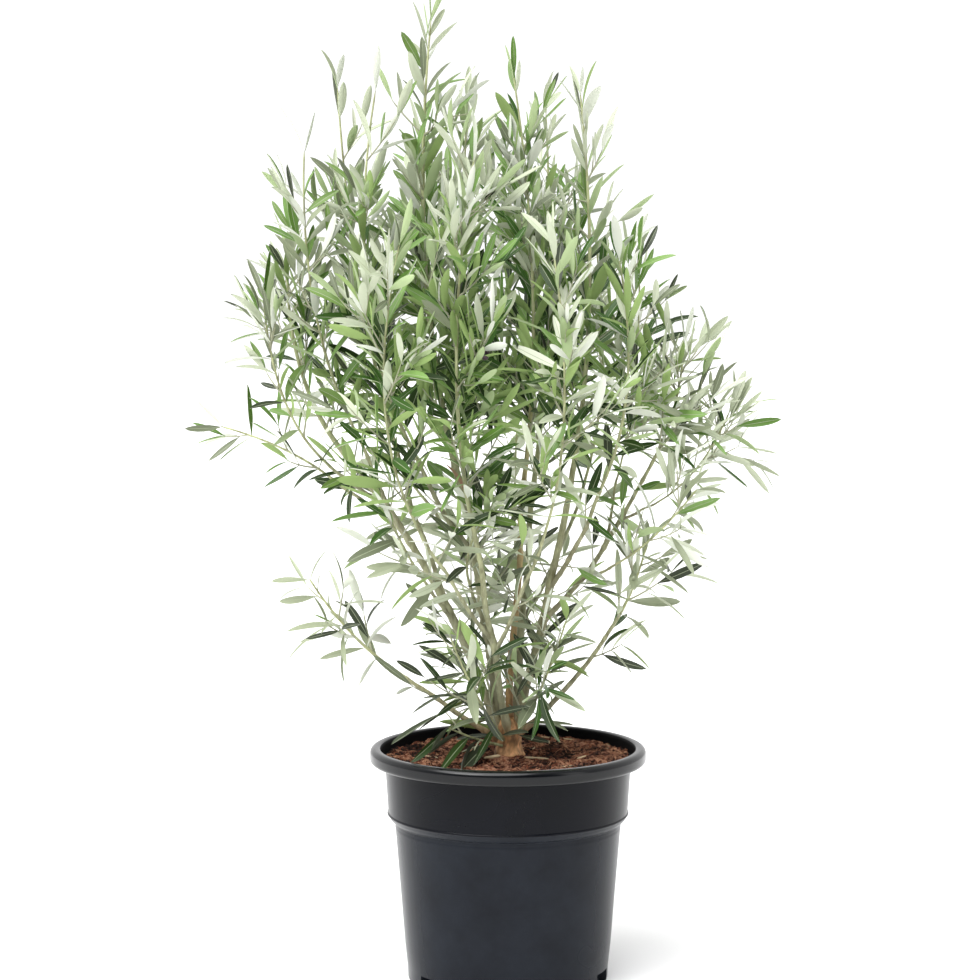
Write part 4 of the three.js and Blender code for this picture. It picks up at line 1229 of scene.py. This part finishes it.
def leaf_sheet(leaves, across, sunk):
    """Corners of one side of every leaf: folded, curled along, swept aside and rolled."""
    def column(values):
        return np.array(list(values))[:, None, None]

    stations, halves = np.array(LEAF_STATIONS).T
    s = stations[None, :, None]
    length = column(leaf["length"] for leaf in leaves)
    curl = column(CURL_SWING * either(*leaf["keys"], 21) - CURL_DOWN - LOW_CURL * lowness(leaf["root"])
                  for leaf in leaves)
    sweep = column(SWEEP_SWING * either(*leaf["keys"], 22) for leaf in leaves)
    fold = column(FOLD + FOLD_MORE * chance(*leaf["keys"], 23) for leaf in leaves)
    turn = column(ROLL_SWING * either(*leaf["keys"], 24) for leaf in leaves) * (s - ROLL_FROM)
    u = across * halves[None, :, None] * column(leaf["width"] / 2 for leaf in leaves)
    rib = sunk * (np.abs(across) < 0.5)[None, None, :]
    side = u * np.cos(turn) - rib * np.sin(turn) + sweep * length * s * s
    out = fold * np.abs(u) + curl * length * s * s + u * np.sin(turn) + rib * np.cos(turn)
    forward = s * length * np.ones_like(u)
    sheet = 0
    for key, amount in (("root", 1.0), ("way", forward), ("broad", side), ("up", out)):
        vectors = np.array([leaf[key] for leaf in leaves])[:, None, None, :]
        sheet = sheet + vectors * np.asarray(amount)[..., None]
    return sheet.reshape(len(leaves), -1, 3)


def make_leaves(leaves, nodes):
    """Leaves of two sheets that meet at their edges, in pieces of a few thousand each."""
    for leaf in leaves:
        normal = np.cross(leaf["way"], leaf["across"])
        turned = copysign(1, normal[2])
        leaf["up"] = normal * turned
        leaf["broad"] = leaf["across"] * turned
    rows = len(LEAF_STATIONS)
    vertices = np.concatenate([leaf_sheet(leaves, UPPER_ACROSS, UPPER_SUNK),
                               leaf_sheet(leaves, UNDER_ACROSS, UNDER_SUNK)], 1)
    upper_quads = ring_quads(rows, len(UPPER_ACROSS), closed=False)[:, ::-1]
    under_quads = ring_quads(rows, len(UNDER_ACROSS), closed=False) + rows * len(UPPER_ACROSS)
    quads = np.concatenate([upper_quads, under_quads])
    on_rib = np.tile([False, True, False], rows - 1)
    upper, rib, under = np.array([leaf_slots(leaf) for leaf in leaves]).T[..., None]
    slots = np.hstack([np.where(on_rib, rib, upper), np.tile(under, len(under_quads))])
    materials = leaf_materials()
    count = len(leaves)
    for n, batch in enumerate(np.array_split(np.arange(count), 1 + count // LEAVES_IN_PIECE), 1):
        firsts = np.arange(len(batch)) * vertices.shape[1]
        faces = (quads[None] + firsts[:, None, None]).reshape(-1, 4)
        arrays = (vertices[batch].reshape(-1, 3), faces, slots[batch].ravel())
        make_piece(f"leaves_{n}", arrays, materials, nodes)


def nearest(leaves, x, z, most_y):
    """The leaf whose middle is nearest to a place seen from the front, not behind a depth."""
    def off(leaf):
        middle = leaf["root"] + leaf["way"] * leaf["length"] / 2
        return hypot(middle[0] - x, middle[2] - z) if middle[1] <= most_y else inf
    return min(leaves, key=off)


# ---- fruit ----
STALK_LENGTH = 9.0
STALK_RADIUS = 0.55
STALK_STEPS = 6
OLIVE_RADIUS = 5.3
OLIVE_HALF = 6.9
OLIVE_DROP = 6.4  # from the stalk's end to the fruit's middle
OLIVE_ROWS = 16
OLIVE_ROUND = 24


def make_olive(leaf):
    """One dark ripe olive on a short stalk beside a leaf's root."""
    start = leaf["root"]
    drop = unit(leaf["across"] * 0.3 + np.array([0, -0.35, -1.0]))
    bend = start + drop * 4 + np.array([0, -2, 0])
    stalk = Line(bezier(start, bend, start + drop * STALK_LENGTH, STALK_STEPS))
    centre = start + drop * (STALK_LENGTH + OLIVE_DROP)
    side = unit(np.cross(drop, [0.2, 1, 0.1]))
    over = np.cross(drop, side)
    angles = full_turn(OLIVE_ROUND)
    rows = []
    for i in range(OLIVE_ROWS + 1):
        a = pi * i / OLIVE_ROWS
        r = OLIVE_RADIUS * sin(a) * (1 + 0.06 * cos(a)) + 1e-3
        rows.append(centre - drop * OLIVE_HALF * cos(a) + np.outer(np.cos(angles) * r, side)
                    + np.outer(np.sin(angles) * r, over))
    fruit = (np.concatenate(rows), ring_quads(len(rows), OLIVE_ROUND)[:, ::-1], 0)
    parts = [fruit, tube(stalk, np.full(STALK_STEPS + 1, STALK_RADIUS), 6, 1)]
    materials = [olive_material(), bpy.data.materials["green_twig"]]
    make_piece("olive_fruit", join(parts), materials)


# ---- stage ----
CAMERA_PLACE = (-0.0195, -3.2, 0.842)
CAMERA_DOWN = 5.49
CAMERA_LENS = 109.7
FLOOR_HALF = 12.0


def area_light(name, place, aim, size, power):
    data = bpy.data.lights.new(name, "AREA")
    data.shape = "RECTANGLE"
    data.size, data.size_y = size
    data.energy = power
    lamp = add_object(name, data)
    lamp.location = place
    lamp.rotation_euler = (Vector(aim) - Vector(place)).to_track_quat("-Z", "Y").to_euler()


def sun_light(name, height, round_from_back, spread, strength):
    """Soft light from far off, from a height and a side given in degrees."""
    data = bpy.data.lights.new(name, "SUN")
    data.energy = strength
    data.angle = radians(spread)
    lamp = add_object(name, data)
    lamp.rotation_euler = (radians(90 - height), 0, radians(round_from_back))


def studio_world():
    """White all round but for the dark side of the room behind the camera."""
    world = bpy.data.worlds.new("studio")
    world.use_nodes = True
    tree = world.node_tree
    back = tree.nodes["Background"]
    back.inputs["Strength"].default_value = 1.15
    place = add_node(tree, "TexCoord")
    parts = add_node(tree, "SeparateXYZ")
    depth = scaled_sum(tree, 0.5)
    depth.inputs[2].default_value = 0.5
    link(tree, place, "Generated", parts, "Vector")
    link(tree, parts, "Y", depth, 0)
    toned(tree, depth, "Value", [(0.1, (0.05, 0.055, 0.065, 1)), (0.58, (1, 1, 1, 1))], back, "Color")
    return world


def make_stage():
    scene = bpy.context.scene
    camera_data = bpy.data.cameras.new("camera")
    camera_data.lens = CAMERA_LENS
    camera_data.sensor_width = 36
    camera = add_object("camera", camera_data)
    camera.location = CAMERA_PLACE
    camera.rotation_euler = (radians(90 - CAMERA_DOWN), 0, 0)
    scene.camera = camera

    half = FLOOR_HALF
    mesh = bpy.data.meshes.new("floor")
    mesh.from_pydata([(-half, -half, 0), (half, -half, 0), (half, half, 0), (-half, half, 0)], [],
                     [(0, 1, 2, 3)])
    paper = new_material("pale_floor", (0.86, 0.86, 0.86, 1), 0.9, 0.1, (40, 3), 0.02, 0.001)[0]
    mesh.materials.append(paper)
    add_object("floor", mesh)

    scene.world = studio_world()
    sun_light("sun", 60, -34, 60, 4.6)
    area_light("key", (-1.9, -2.2, 3.0), (0, 0, 0.6), (1.5, 1.5), 40)
    area_light("fill", (2.2, -1.5, 1.1), (0, 0, 0.3), (0.9, 2.2), 10)
    scene.view_settings.view_transform = "Standard"
    scene.view_settings.look = "None"


# ---- everything ----
make_stage()
limbs = grow_limbs()
stems = grow_stems(limbs)
twigs, leaves = grow_foliage(stems, limbs)
leafy_nodes = [name + "_leaves" for name in limbs] + [row[0] for row in SPRIGS]
nearest(leaves, -37, 560, -40)["look"] = DRY
nearest(leaves, -113, 533, -20)["look"] = SCORCHED
make_pot()
make_soil()
make_litter()
make_bark(limbs, stems)
make_twigs(twigs, leafy_nodes)
make_leaves(leaves, leafy_nodes)
make_olive(nearest(leaves, -13, 712, -60))
